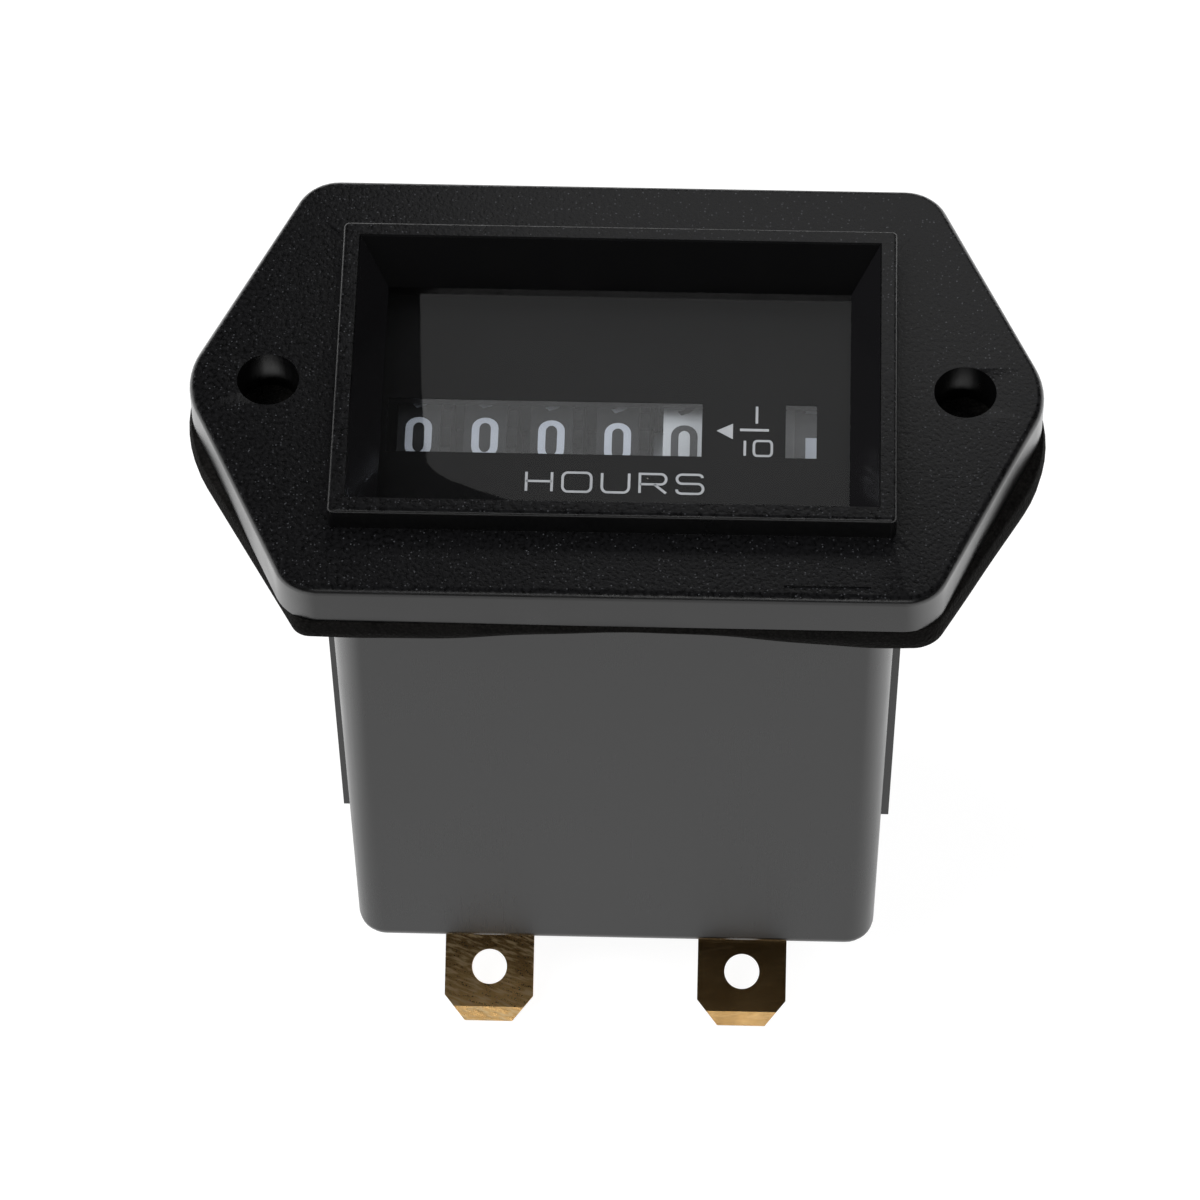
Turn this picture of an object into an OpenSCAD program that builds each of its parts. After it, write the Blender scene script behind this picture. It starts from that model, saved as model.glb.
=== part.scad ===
// Panel-mount hour meter: five number wheels and a running indicator, driven
// through a gear train by a stepping motor, behind a window in a flanged bezel.
// +Z points out of the dial, +X to the right of the digits, +Y to their top.
// The origin is the centre of the flange's back face. All sizes are in mm.

/* [Flange] */
// Width of the six-sided flange from tip to tip
flange_w = 56.2; // [54:0.1:62]
// Height of the flange
flange_h = 33.5; // [31:0.1:38]
// Length of the straight top and bottom edges up to their unrounded corners
flange_edge = 41.7; // [38:0.1:44]
// Thickness of the flange
flange_t = 3.4; // [3.2:0.1:4.5]
// Radius of the two side tips
flange_tip_r = 5.5; // [3:0.1:7]
// Radius of the four other corners
flange_corner_r = 3; // [1:0.1:5]
// Rounding of the flange's front edge
flange_round = 0.55; // [0.2:0.05:0.8]
// Distance between the two screw holes
hole_pitch = 45.8; // [44.5:0.1:48]
// Diameter of the screw holes
hole_d = 4.1; // [3:0.1:4.6]

/* [Bezel rim] */
// Width of the raised rim
rim_w = 36.8; // [36.2:0.1:38]
// Height of the raised rim
rim_h = 23.5; // [22.9:0.1:25]
// Rise of the rim above the flange
rim_rise = 1.95; // [1:0.05:3]
// Width of the rim's flat lip
rim_lip = 1.07; // [0.6:0.01:1.3]
// Rounding of the rim's outer edge
rim_round = 0.3; // [0.1:0.05:0.35]
// Depth of the sloped recess from the rim down to the lens
recess_depth = 3.25; // [2.3:0.05:3.3]
// How far the recess walls slope inwards
recess_inset = 1.94; // [1.7:0.01:2.5]

/* [Lens and dial] */
// Width of the lens
lens_w = 32; // [31.6:0.1:32.6]
// Height of the lens
lens_h = 18.4; // [18:0.1:19]
// Thickness of the lens
lens_t = 1.45; // [0.8:0.05:1.5]
// Left end of the number window
window_left = -15.1; // [-15.3:0.1:-14]
// Right end of the number window
window_right = 5.67; // [5:0.01:6]
// Height of both windows
window_h = 4.3; // [3.6:0.05:5]
// Width of the indicator window
indicator_window_w = 2.05; // [1.5:0.05:2.6]
// Centre of the number row above the middle of the dial
counter_y = -1.45; // [-1.7:0.05:-1.2]

/* [Case] */
// Least width of the case at its rear
case_w = 36.5; // [36.2:0.1:37]
// Least height of the case at its rear
case_h = 23.6; // [23.4:0.1:24.4]
// How far each side of the case leans out from the rear to the flange
case_draft = 0.5; // [0:0.05:0.8]
// Depth of the case behind the flange
case_depth = 47.8; // [47.2:0.1:56]
// Wall thickness of the case
case_wall = 1.5; // [1.2:0.05:1.6]
// Radius of the long edges
case_corner_r = 2; // [1:0.1:3]
// Radius of the rear edges
case_edge_r = 1.4; // [0.6:0.1:1.5]
// Rise of the guide pads on the short sides
pad_rise = 0.6; // [0.3:0.05:0.9]
// Height of the guide pads
pad_h = 17; // [10:0.5:19]
// Where the guide pads end behind the flange
pad_end = 35; // [20:0.5:44]

/* [Gasket] */
// Thickness of the foam gasket
gasket_t = 1.5; // [1:0.1:3]
// Gap between the gasket and the case
gasket_gap = 0.4; // [0.2:0.1:1]

/* [Terminals] */
// Width of the blades
blade_w = 6.3; // [4.8:0.1:6.4]
// Thickness of the blades
blade_t = 0.8; // [0.5:0.1:0.9]
// Distance between the two blades
blade_pitch = 18; // [15:0.1:20]
// Length of the straight blade past its bend
blade_len = 6.68; // [6:0.01:9]
// Bend of the blades away from straight back
blade_bend = 60; // [20:1:75]
// Inner radius of the bend
bend_r = 0.4; // [0.3:0.1:0.8]
// Diameter of the detent hole
blade_hole_d = 2.5; // [1.8:0.1:2.8]
// Distance from the blade's tip to its hole
blade_hole_back = 3.86; // [3.4:0.01:4.4]

/* [Counter] */
// Diameter of the number wheels
wheel_d = 14; // [13.8:0.1:14.1]
// Distance between number wheels
wheel_pitch = 4.39; // [4.3:0.01:4.4]
// Width of a number wheel's rim
wheel_face = 2.8; // [2.6:0.05:2.85]
// Middle of the tenths wheel
tenths_x = 4.5; // [4.4:0.01:4.6]
// Middle of the indicator drum
indicator_x = 12.2; // [12.1:0.05:12.3]
// Diameter of the wheel shaft
wheel_shaft_d = 1.5; // [1.2:0.1:1.5]
// Diameter of the pinion shaft
pinion_shaft_d = 1.2; // [1:0.1:1.4]
// Gap between turning bores and their shafts, on the radius
running_gap = 0.05; // [0.03:0.01:0.08]

/* [Motor] */
// Radius of the rotor magnet
magnet_r = 3; // [2.5:0.1:3.1]
// Gap between the rotor magnet and the stator
air_gap = 0.5; // [0.4:0.05:0.7]
// Thickness of the stator plate
stator_t = 1.2; // [0.8:0.1:1.3]
// Outer radius of the coil winding
coil_r = 3; // [2.4:0.1:3.1]

/* [Hidden] */
$fn = 48;
// Small overlap used where one cut passes through a surface
cut = 1;
// Gap left where a fixed piece drops into a pocket
slip = 0.05;
// Gap of a pressed joint on the radius
press = 0.01;
// Gap between the ends of neighbouring turning pieces
end_gap = 0.1;
corner_steps = 8;
round_steps = 4;

// Flange outline
tip_angle_first = atan2(flange_h / 2, (flange_w - flange_edge) / 2);
tip_x_first = flange_w / 2 + flange_tip_r * (1 / sin(tip_angle_first) - 1);
tip_angle = atan2(flange_h / 2, tip_x_first - flange_edge / 2);
tip_x = flange_w / 2 + flange_tip_r * (1 / sin(tip_angle) - 1);
flange_corners = [
    [tip_x, 0, flange_tip_r],
    [flange_edge / 2, flange_h / 2, flange_corner_r],
    [-flange_edge / 2, flange_h / 2, flange_corner_r],
    [-tip_x, 0, flange_tip_r],
    [-flange_edge / 2, -flange_h / 2, flange_corner_r],
    [flange_edge / 2, -flange_h / 2, flange_corner_r]
];

// Front stack, from the rim back to the dial
rim_top = flange_t + rim_rise;
lens_front = rim_top - recess_depth;
lens_back = lens_front - lens_t;
dial_t = lens_back;
rim_corner_r = 0.4;
open_w = rim_w - 2 * rim_lip;
open_h = rim_h - 2 * rim_lip;
aperture_w = open_w - 2 * recess_inset;
aperture_h = open_h - 2 * recess_inset;
pocket_w = lens_w + 2 * slip;
pocket_h = lens_h + 2 * slip;
groove_depth = 1;
gate_x = 14;
gate_size = [5.6, 0.5, 0.12];

// Case, wide and high enough for the lens
lens_side_gap = 0.7;
lens_end_gap = 1.1;
shell_w = max(case_w, lens_w + 2 * (lens_side_gap + case_wall));
shell_h = max(case_h, lens_h + 2 * (lens_end_gap + case_wall));
inner_w = shell_w - 2 * case_wall;
inner_h = shell_h - 2 * case_wall;
front_w = shell_w + 2 * case_draft;
front_h = shell_h + 2 * case_draft;
case_front = groove_depth - slip;
case_floor = -case_depth + case_wall;
board_t = 1;
post_h = 3;
post_r = 1.2;
board_back = case_floor + post_h;
board_front = board_back + board_t;
board_w = inner_w - 0.6;
board_h = inner_h - 0.6;
boss_size = [8, 2.6, 0.5];
post_at = [14, 7.5];

// Terminals
blade_y = -shell_h / 2 + case_wall + 1;
bend_mid_r = bend_r + blade_t / 2;
bend_z = -case_depth - boss_size[2] - 0.15;
tang_w = 3;
shoulder_z = case_floor + 0.5;
blade_corner = [1.46, 1.8];
blade_lead = 1;
blade_tip_t = 0.3;
tang_top = board_front + 0.5;
bend_steps = 10;
bend_centre = [blade_y - bend_mid_r, bend_z];
blade_out = [cos(-blade_bend), sin(-blade_bend)];
blade_along = [sin(-blade_bend), -cos(-blade_bend)];
bend_end = bend_centre + bend_mid_r * blade_out;

// Counter frame, seen along X
left_plate = [-inner_w / 2 + 0.5, -inner_w / 2 + 1.4];
middle_plate = [7.2, 8];
right_plate = [14, 15.2];
plate_h = inner_h - 0.8;
leg_h = 2.5;
rail = 1.4;
rail_y = plate_h / 2 - rail / 2;
rail_z = [-3.5, -22];
middle_end = -33.5;
leg_top = -18.5;

// Shafts: places are [y, z]
wheel_gap = 0.55;
wheel_r = wheel_d / 2;
wheel_shaft_r = wheel_shaft_d / 2;
pinion_shaft_r = pinion_shaft_d / 2;
arbor_r = 0.6;
first_arbor_r = 0.5;
rotor_arbor_r = 0.4;
arbor_reach = wheel_r + 1.4;
wheel_axis = [counter_y, -wheel_gap - wheel_r];
pinion_axis = wheel_axis + arbor_reach * [cos(-120), sin(-120)];
second_angle = -65.4;
second_axis = wheel_axis + arbor_reach * [cos(second_angle), sin(second_angle)];
first_angle = -107.5;
first_axis = second_axis + arbor_reach * [cos(first_angle), sin(first_angle)];

// Gears
pressure = 25;
addendum = 0.95;
dedendum = 1.2;
tooth_shift = 0.3;
tooth_play = 0.14;
flank_steps = 2;
number_teeth = 20;
transfer_teeth = 8;
drive_teeth = 36;
drive_pinion_teeth = 12;
second_teeth = 48;
small_pinion_teeth = 8;
first_teeth = 40;
carry_module = 2 * arbor_reach / (number_teeth + transfer_teeth);
drive_module = 2 * arbor_reach / (drive_teeth + drive_pinion_teeth);
train_module = 2 * arbor_reach / (second_teeth + small_pinion_teeth);
rotor_reach = train_module * (first_teeth + small_pinion_teeth) / 2;
rotor_axis = first_axis - [0, rotor_reach];

// Gear planes along X
gear_face = 0.7;
plane_drive = 6.1;
plane_second = 8.3;
plane_indicator = 9.3;
plane_first = 10.3;
side_face = 0.65;

// Number wheels
rim_t = 0.8;
web_t = 0.9;
hub_r = 1.9;
hub_len = wheel_pitch - end_gap;
rim_space = wheel_pitch - wheel_face;
pinion_len = rim_space - 0.24;
transfer_tip_r = carry_module * (transfer_teeth / 2 + addendum + tooth_shift);
carry_r = arbor_reach - transfer_tip_r - 0.7;
lug_r = arbor_reach - transfer_tip_r - 0.15;
lug_w = 0.7;
lug_angles = [-75, -57];
drum_w = 2.8;

// Motor
magnet_x = [11.4, 13.4];
stator_x = 11.8;
core_t = 1.2;
core_h = 2.4;
core_x = stator_x - core_t;
coil_x = core_x + core_t / 2;
pole_r = 4.9;
coil_gap = 0.25;
coil_z = rotor_axis[1] - pole_r - coil_gap - coil_r;
pole_y = 8.4;
pole_leg = 2.4;
pole_arm = 3.4;
bobbin_len = 2 * (pole_y - pole_leg) - 0.2;
bobbin_flange = 0.6;
bobbin_wall = 0.5;
bobbin_size = 2 * coil_r + 0.6;
coil_pin_r = 0.3;
peg_r = 0.6;
peg_y = pole_y - pole_leg / 2;
peg_z = rotor_axis[1];
rivet_r = 0.5;
rivet_head_r = 0.9;
rivet_head_t = 0.35;
window_cut = coil_r + 0.6;

// Parts on the board: places are [x, y]
capacitor_at = [-9.5, 3.2];
capacitor_r = 2.5;
capacitor_h = 7;
chip_at = [-1.5, 4.2];
chip_size = [4.9, 3.9, 1.4];
crystal_at = [0, -3.5];
crystal_r = 1;
crystal_len = 6;
diode_at = [-13.2, -1.5];
diode_r = 1.3;
diode_len = 5;
lead_r = 0.35;
lead_span = 8;

// Helpers

function polar(r, a) = r * [cos(a), sin(a)];
function unit(v) = v / norm(v);
function flat(p) = [p[0], p[1]];

// Points of one rounded corner at b between its neighbours a and c, moved in by an inset
function corner_arc(a, b, c, r, inset) =
    let (
        u = unit(a - b),
        v = unit(c - b),
        half = acos(u * v) / 2,
        centre = b + unit(u + v) * r / sin(half),
        start = b + u * r / tan(half) - centre,
        turn = 180 - 2 * half,
        a0 = atan2(start[1], start[0])
    )
    [for (i = [0 : corner_steps]) centre + polar(r - inset, a0 + turn * i / corner_steps)];

// Outline through corners given as [x, y, radius], listed anticlockwise
function rounded(corners, inset = 0) =
    let (n = len(corners))
    [for (i = [0 : n - 1])
        each corner_arc(
            flat(corners[(i + n - 1) % n]),
            flat(corners[i]),
            flat(corners[(i + 1) % n]),
            corners[i][2],
            inset
        )];

function box_corners(w, h, r) = [
    [w / 2, h / 2, r], [-w / 2, h / 2, r], [-w / 2, -h / 2, r], [w / 2, -h / 2, r]
];

function rounded_box(w, h, r) = rounded(box_corners(w, h, r));

function plain_box(w, h) = [[w / 2, h / 2], [-w / 2, h / 2], [-w / 2, -h / 2], [w / 2, -h / 2]];

// Solid through a list of outlines, each given as [z, points], from low to high
module loft(rings) {
    n = len(rings[0][1]);
    last = len(rings) - 1;
    polyhedron(
        points = [for (ring = rings) each [for (p = ring[1]) [p[0], p[1], ring[0]]]],
        faces = concat(
            [[for (i = [0 : n - 1]) i]],
            [for (k = [0 : last - 1], i = [0 : n - 1])
                [k * n + i, (k + 1) * n + i, (k + 1) * n + (i + 1) % n, k * n + (i + 1) % n]],
            [[for (i = [n - 1 : -1 : 0]) last * n + i]]
        )
    );
}

// Plate through corners given as [x, y, radius], with its front edge rounded
module round_plate(corners, height, r) {
    loft(concat(
        [[0, rounded(corners)]],
        [for (i = [0 : round_steps])
            let (a = 90 * i / round_steps)
            [height - r * (1 - sin(a)), rounded(corners, r * (1 - cos(a)))]]
    ));
}

// Shape drawn in Y and Z, drawn out along X
module along_x(x, length) {
    translate([x, 0, 0]) rotate([90, 0, 90]) linear_extrude(length) children();
}

module at_axis(axis) {
    translate([0, axis[0], axis[1]]) children();
}

module rod_x(x0, x1, r) {
    translate([x0, 0, 0]) rotate([0, 90, 0]) cylinder(h = x1 - x0, r = r);
}

function involute(a) = tan(a) * 180 / PI - a;

// Tooth outline: half width as an angle at each radius of an involute flank
function tooth(angle, root_r, base_r, tip_r, half) =
    let (
        start_r = max(root_r, base_r),
        radii = [for (i = [0 : flank_steps]) start_r + (tip_r - start_r) * i / flank_steps],
        halves = [for (r = radii) half + involute(pressure) - involute(acos(min(1, base_r / r)))],
        foot = root_r < base_r
    )
    concat(
        foot ? [polar(root_r, angle - halves[0])] : [],
        [for (i = [0 : flank_steps]) polar(radii[i], angle - halves[i])],
        [for (i = [flank_steps : -1 : 0]) polar(radii[i], angle + halves[i])],
        foot ? [polar(root_r, angle + halves[0])] : []
    );

// Gear outline; only every nth tooth is kept when every is above one
function gear(teeth, size, shift, every = 1) =
    let (
        pitch_r = teeth * size / 2,
        base_r = pitch_r * cos(pressure),
        tip_r = pitch_r + size * (addendum + shift),
        root_r = pitch_r - size * (dedendum - shift),
        thin = tooth_play * size / (2 * pitch_r),
        half = 90 / teeth + (2 * shift * tan(pressure) / teeth - thin) * 180 / PI
    )
    [for (k = [0 : teeth - 1])
        each k % every == 0
            ? tooth(k * 360 / teeth, root_r, base_r, tip_r, half)
            : [polar(root_r, k * 360 / teeth)]];

// Gear with a tooth pointing along the given angle
module wheel_gear(x, length, teeth, size, angle) {
    along_x(x, length) rotate(angle) polygon(gear(teeth, size, -tooth_shift));
}

// Pinion with a gap pointing along the given angle
module pinion_gear(x, length, teeth, size, angle, every = 1) {
    along_x(x, length) rotate(angle + 180 / teeth) polygon(gear(teeth, size, tooth_shift, every));
}

function direction(from, to) = atan2(to[1] - from[1], to[0] - from[0]);

function wheel_x(i) = tenths_x - (5 - i) * wheel_pitch;

// Bezel, lens, dial and gasket

module bezel() {
    color([0.07, 0.07, 0.07])
    difference() {
        union() {
            round_plate(flange_corners, flange_t, flange_round);
            round_plate(box_corners(rim_w, rim_h, rim_corner_r), rim_top, rim_round);
        }
        loft([
            [lens_front, plain_box(aperture_w, aperture_h)],
            [rim_top, plain_box(open_w, open_h)],
            [rim_top + cut, plain_box(open_w, open_h)]
        ]);
        translate([0, 0, -cut])
            linear_extrude(lens_front + cut) square([pocket_w, pocket_h], center = true);
        translate([0, 0, -cut]) linear_extrude(groove_depth + cut) difference() {
            polygon(case_outline(0, -slip));
            polygon(case_outline(0, case_wall + slip));
        }
        for (side = [-1, 1])
            translate([side * hole_pitch / 2, 0, -cut]) cylinder(h = flange_t + 2 * cut, d = hole_d);
        translate([gate_x, -flange_h / 2 + 0.9, flange_t])
            cube([gate_size[0], gate_size[1], 2 * gate_size[2]], center = true);
    }
}

module lens() {
    color([0.8, 0.85, 0.88, 0.35])
    translate([-lens_w / 2, -lens_h / 2, lens_back]) cube([lens_w, lens_h, lens_t]);
}

module dial_plate() {
    color([0.04, 0.04, 0.045])
    linear_extrude(dial_t) difference() {
        square([lens_w, lens_h], center = true);
        translate([window_left, counter_y - window_h / 2])
            square([window_right - window_left, window_h]);
        translate([indicator_x - indicator_window_w / 2, counter_y - window_h / 2])
            square([indicator_window_w, window_h]);
    }
}

module gasket() {
    color([0.1, 0.1, 0.1])
    difference() {
        translate([0, 0, -gasket_t]) linear_extrude(gasket_t) difference() {
            polygon(rounded(flange_corners));
            polygon(rounded_box(
                front_w + 2 * (pad_rise + gasket_gap), front_h + 2 * gasket_gap, case_corner_r
            ));
        }
        for (side = [-1, 1])
            translate([side * hole_pitch / 2, 0, -gasket_t - cut])
                cylinder(h = gasket_t + 2 * cut, d = hole_d + 0.2);
    }
}

// Case

// How far a side has leaned out at a height between the rear and the flange
function case_lean(z) = case_draft * min(1, 1 + z / case_depth);

function case_outline(z, inset) =
    let (grow = 2 * (case_lean(z) - inset))
    rounded_box(shell_w + grow, shell_h + grow, max(0.2, case_corner_r - inset));

function case_ring(z, inset) = [z, case_outline(z, inset)];

function case_side(z) = shell_w / 2 + case_lean(z);

module case_shell() {
    edge_steps = 5;
    difference() {
        loft(concat(
            [for (i = [0 : edge_steps])
                let (a = 90 * i / edge_steps)
                case_ring(-case_depth + case_edge_r * (1 - cos(a)), case_edge_r * (1 - sin(a)))],
            [case_ring(0, 0), case_ring(case_front, 0)]
        ));
        loft([for (z = [case_floor, 0, case_front + cut]) case_ring(z, case_wall)]);
    }
}

// Guide pad on the right side, leaning with the case
module guide_pad() {
    pad_front = -gasket_t - 0.1;
    rotate([90, 0, 0]) linear_extrude(pad_h, center = true) polygon([
        [case_side(-pad_end) - case_wall / 2, -pad_end],
        [case_side(-pad_end) + pad_rise, -pad_end],
        [case_side(pad_front) + pad_rise, pad_front],
        [case_side(pad_front) - case_wall / 2, pad_front]
    ]);
}

module case_part() {
    color([0.09, 0.09, 0.095])
    difference() {
        union() {
            case_shell();
            for (side = [-1, 1]) {
                mirror([side < 0 ? 1 : 0, 0, 0]) guide_pad();
                translate([side * blade_pitch / 2, blade_y, -case_depth - boss_size[2] / 2 + 0.25])
                    cube([boss_size[0], boss_size[1], boss_size[2] + 0.5], center = true);
                for (end = [-1, 1])
                    translate([side * post_at[0], end * post_at[1], case_floor - 0.5])
                        cylinder(h = post_h + 0.5, r = post_r);
            }
        }
        for (side = [-1, 1])
            translate([side * blade_pitch / 2, blade_y, -case_depth])
                cube([blade_w + 2 * slip, blade_t + 2 * slip, 4 * case_wall], center = true);
    }
}

// Terminals

// Point of the straight blade, by its distance past the bend and from the middle of its thickness
function blade_point(length, offset) = bend_end + length * blade_along + offset * blade_out;

function bend_arc(r, from, to) =
    [for (i = [0 : bend_steps]) bend_centre + polar(r, from + (to - from) * i / bend_steps)];

// Side view of a terminal: straight strip, bend, and blade with a tapered tip
function strip_profile() =
    concat(
        [[blade_y + blade_t / 2, tang_top], [blade_y - blade_t / 2, tang_top]],
        bend_arc(bend_r, 0, -blade_bend),
        [
            blade_point(blade_len - blade_lead, -blade_t / 2),
            blade_point(blade_len, -blade_tip_t / 2),
            blade_point(blade_len, blade_tip_t / 2),
            blade_point(blade_len - blade_lead, blade_t / 2)
        ],
        bend_arc(bend_r + blade_t, -blade_bend, 0)
    );

module blade_cuts() {
    half = blade_w / 2;
    translate([0, 0, -blade_len + blade_hole_back]) rotate([90, 0, 0])
        cylinder(h = blade_t + 2 * cut, d = blade_hole_d, center = true);
    for (side = [0, 1])
        mirror([side, 0, 0]) rotate([90, 0, 0]) linear_extrude(blade_t + 2 * cut, center = true) polygon([
            [half - 2 * blade_corner[0], -blade_len - blade_corner[1]],
            [half + blade_corner[0], -blade_len - blade_corner[1]],
            [half + blade_corner[0], -blade_len + 2 * blade_corner[1]]
        ]);
}

module terminal(side) {
    shoulder_w = (blade_w - tang_w) / 2;
    color([0.62, 0.5, 0.28])
    translate([side * blade_pitch / 2, 0, 0])
    difference() {
        along_x(-blade_w / 2, blade_w) polygon(strip_profile());
        for (x = [-blade_w / 2 - cut, tang_w / 2])
            translate([x, blade_y - blade_t / 2 - cut, shoulder_z])
                cube([shoulder_w + cut, blade_t + 2 * cut, tang_top - shoulder_z + cut]);
        translate([0, bend_end[0], bend_end[1]]) rotate([-blade_bend, 0, 0]) blade_cuts();
    }
}

// Counter frame and shafts

module plate(x, z0, z1) {
    along_x(x[0], x[1] - x[0]) translate([-plate_h / 2, z0]) square([plate_h, z1 - z0]);
}

module plate_window(x, z0, z1) {
    along_x(x[0] - cut, x[1] - x[0] + 2 * cut)
        translate([-plate_h / 2 + leg_h, z0]) square([plate_h - 2 * leg_h, z1 - z0]);
}

module bore(axis, x0, x1, r) {
    at_axis(axis) rod_x(x0, x1, r);
}

module counter_frame() {
    far = right_plate[1] + cut;
    color([0.16, 0.16, 0.17])
    difference() {
        union() {
            difference() {
                union() {
                    plate(left_plate, board_front, 0);
                    plate(middle_plate, middle_end, 0);
                    plate(right_plate, board_front, 0);
                }
                plate_window(left_plate, board_front - cut, leg_top);
                plate_window(right_plate, board_front - cut, coil_z + window_cut);
            }
            for (z = rail_z, side = [-1, 1])
                along_x(left_plate[0], right_plate[1] - left_plate[0])
                    translate([side * rail_y, z]) square(rail, center = true);
            for (side = [-1, 1]) at_axis([side * peg_y, peg_z]) {
                rod_x(stator_x + stator_t, right_plate[0] + 0.2, 2 * peg_r);
                rod_x(stator_x - 0.2, right_plate[0], peg_r);
            }
        }
        bore(wheel_axis, left_plate[0] - cut, far, wheel_shaft_r + press);
        bore(pinion_axis, left_plate[0] - cut, middle_plate[1] + cut, pinion_shaft_r + press);
        bore(second_axis, middle_plate[0] - cut, far, arbor_r + running_gap);
        bore(first_axis, middle_plate[0] - cut, far, first_arbor_r + running_gap);
        bore(rotor_axis, middle_plate[0] - cut, far, rotor_arbor_r + running_gap);
    }
}

module wheel_shaft() {
    color([0.7, 0.7, 0.72]) bore(wheel_axis, left_plate[0], right_plate[1], wheel_shaft_r);
}

module pinion_shaft() {
    color([0.7, 0.7, 0.72]) bore(pinion_axis, left_plate[0], middle_plate[1], pinion_shaft_r);
}

// Number wheels and transfer pinions

module number_wheel(i) {
    x = wheel_x(i);
    left = x - wheel_face / 2;
    right = x + wheel_face / 2;
    hub_left = x - hub_len / 2;
    hub_right = i == 5 ? middle_plate[0] - end_gap : x + hub_len / 2;
    color(i == 5 ? [0.85, 0.86, 0.86] : [0.06, 0.06, 0.065])
    at_axis(wheel_axis)
    difference() {
        union() {
            difference() {
                rod_x(left, right, wheel_r);
                rod_x(left - cut, right - web_t, wheel_r - rim_t);
            }
            rod_x(hub_left, hub_right, hub_r);
            if (i == 5)
                wheel_gear(plane_drive, gear_face, drive_teeth, drive_module,
                    direction(wheel_axis, second_axis));
            else
                wheel_gear(right - 0.3, side_face + 0.3, number_teeth, carry_module,
                    direction(wheel_axis, pinion_axis));
            if (i > 1) {
                rod_x(left - side_face, right - web_t + 0.3, carry_r);
                for (a = lug_angles)
                    along_x(left - side_face, side_face) rotate(a)
                        translate([carry_r - 0.5, -lug_w / 2]) square([lug_r - carry_r + 0.5, lug_w]);
            }
        }
        rod_x(hub_left - cut, hub_right + cut, wheel_shaft_r + running_gap);
    }
}

module transfer_pinion(i) {
    x = wheel_x(i) + wheel_face / 2 + (rim_space - pinion_len) / 2;
    angle = direction(pinion_axis, wheel_axis);
    color([0.82, 0.8, 0.72])
    at_axis(pinion_axis)
    difference() {
        union() {
            pinion_gear(x, pinion_len / 2, transfer_teeth, carry_module, angle);
            pinion_gear(x + pinion_len / 2, pinion_len / 2, transfer_teeth, carry_module, angle, 2);
        }
        rod_x(x - cut, x + pinion_len + cut, pinion_shaft_r + running_gap);
    }
}

// Indicator and gear train

module indicator_wheel() {
    left = indicator_x - drum_w / 2;
    right = indicator_x + drum_w / 2;
    hub_left = plane_indicator - 0.05;
    hub_right = right_plate[0] - end_gap;
    color([0.55, 0.56, 0.57])
    at_axis(wheel_axis)
    difference() {
        union() {
            difference() {
                rod_x(left, right, wheel_r);
                rod_x(left + web_t, right + cut, wheel_r - rim_t);
            }
            rod_x(hub_left, hub_right, 1.6);
            pinion_gear(plane_indicator, gear_face, drive_pinion_teeth, drive_module,
                direction(wheel_axis, second_axis));
        }
        rod_x(hub_left - cut, hub_right + cut, wheel_shaft_r + running_gap);
    }
}

module second_gear() {
    color([0.82, 0.8, 0.72])
    at_axis(second_axis) {
        rod_x(plane_drive - end_gap, right_plate[1], arbor_r);
        rod_x(plane_second - end_gap, plane_indicator + gear_face + end_gap, 1.3);
        wheel_gear(plane_second, gear_face, second_teeth, train_module,
            direction(second_axis, first_axis));
        wheel_gear(plane_indicator, gear_face, drive_teeth, drive_module,
            direction(second_axis, wheel_axis));
    }
}

module drive_pinion() {
    color([0.82, 0.8, 0.72])
    at_axis(second_axis)
    difference() {
        pinion_gear(plane_drive, gear_face, drive_pinion_teeth, drive_module,
            direction(second_axis, wheel_axis));
        rod_x(plane_drive - cut, plane_drive + gear_face + cut, arbor_r + press);
    }
}

module first_gear() {
    color([0.82, 0.8, 0.72])
    at_axis(first_axis) {
        rod_x(middle_plate[0] + end_gap, right_plate[1], first_arbor_r);
        rod_x(plane_second + gear_face, plane_first + gear_face + end_gap, 1.1);
        pinion_gear(plane_second, gear_face, small_pinion_teeth, train_module,
            direction(first_axis, second_axis));
        wheel_gear(plane_first, gear_face, first_teeth, train_module,
            direction(first_axis, rotor_axis));
    }
}

module rotor_pinion() {
    color([0.75, 0.2, 0.15])
    at_axis(rotor_axis) {
        rod_x(middle_plate[0] + end_gap, right_plate[1], rotor_arbor_r);
        rod_x(plane_first + gear_face, magnet_x[1] + 0.2, 1);
        pinion_gear(plane_first, gear_face, small_pinion_teeth, train_module,
            direction(rotor_axis, first_axis));
    }
}

// Motor

module rotor_magnet() {
    color([0.25, 0.25, 0.27])
    at_axis(rotor_axis)
    difference() {
        rod_x(magnet_x[0], magnet_x[1], magnet_r);
        rod_x(magnet_x[0] - cut, magnet_x[1] + cut, 1 + press);
    }
}

module stator() {
    color([0.5, 0.5, 0.52])
    along_x(stator_x, stator_t)
    difference() {
        union() {
            translate(rotor_axis) circle(r = pole_r);
            translate([-pole_y, rotor_axis[1] - pole_arm / 2]) square([2 * pole_y, pole_arm]);
            for (side = [-1, 1])
                translate([side * (pole_y - pole_leg / 2), (rotor_axis[1] + coil_z - core_h / 2) / 2])
                    square([pole_leg, rotor_axis[1] - coil_z + core_h / 2], center = true);
        }
        translate(rotor_axis) circle(r = magnet_r + air_gap);
        for (side = [-1, 1]) {
            translate([side * peg_y, peg_z]) circle(r = peg_r + slip);
            translate([side * peg_y, coil_z]) circle(r = rivet_r + slip);
        }
    }
}

module coil_core() {
    color([0.5, 0.5, 0.52])
    along_x(core_x, core_t)
    difference() {
        translate([-pole_y, coil_z - core_h / 2]) square([2 * pole_y, core_h]);
        for (side = [-1, 1]) translate([side * peg_y, coil_z]) circle(r = rivet_r + slip);
    }
}

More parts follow.
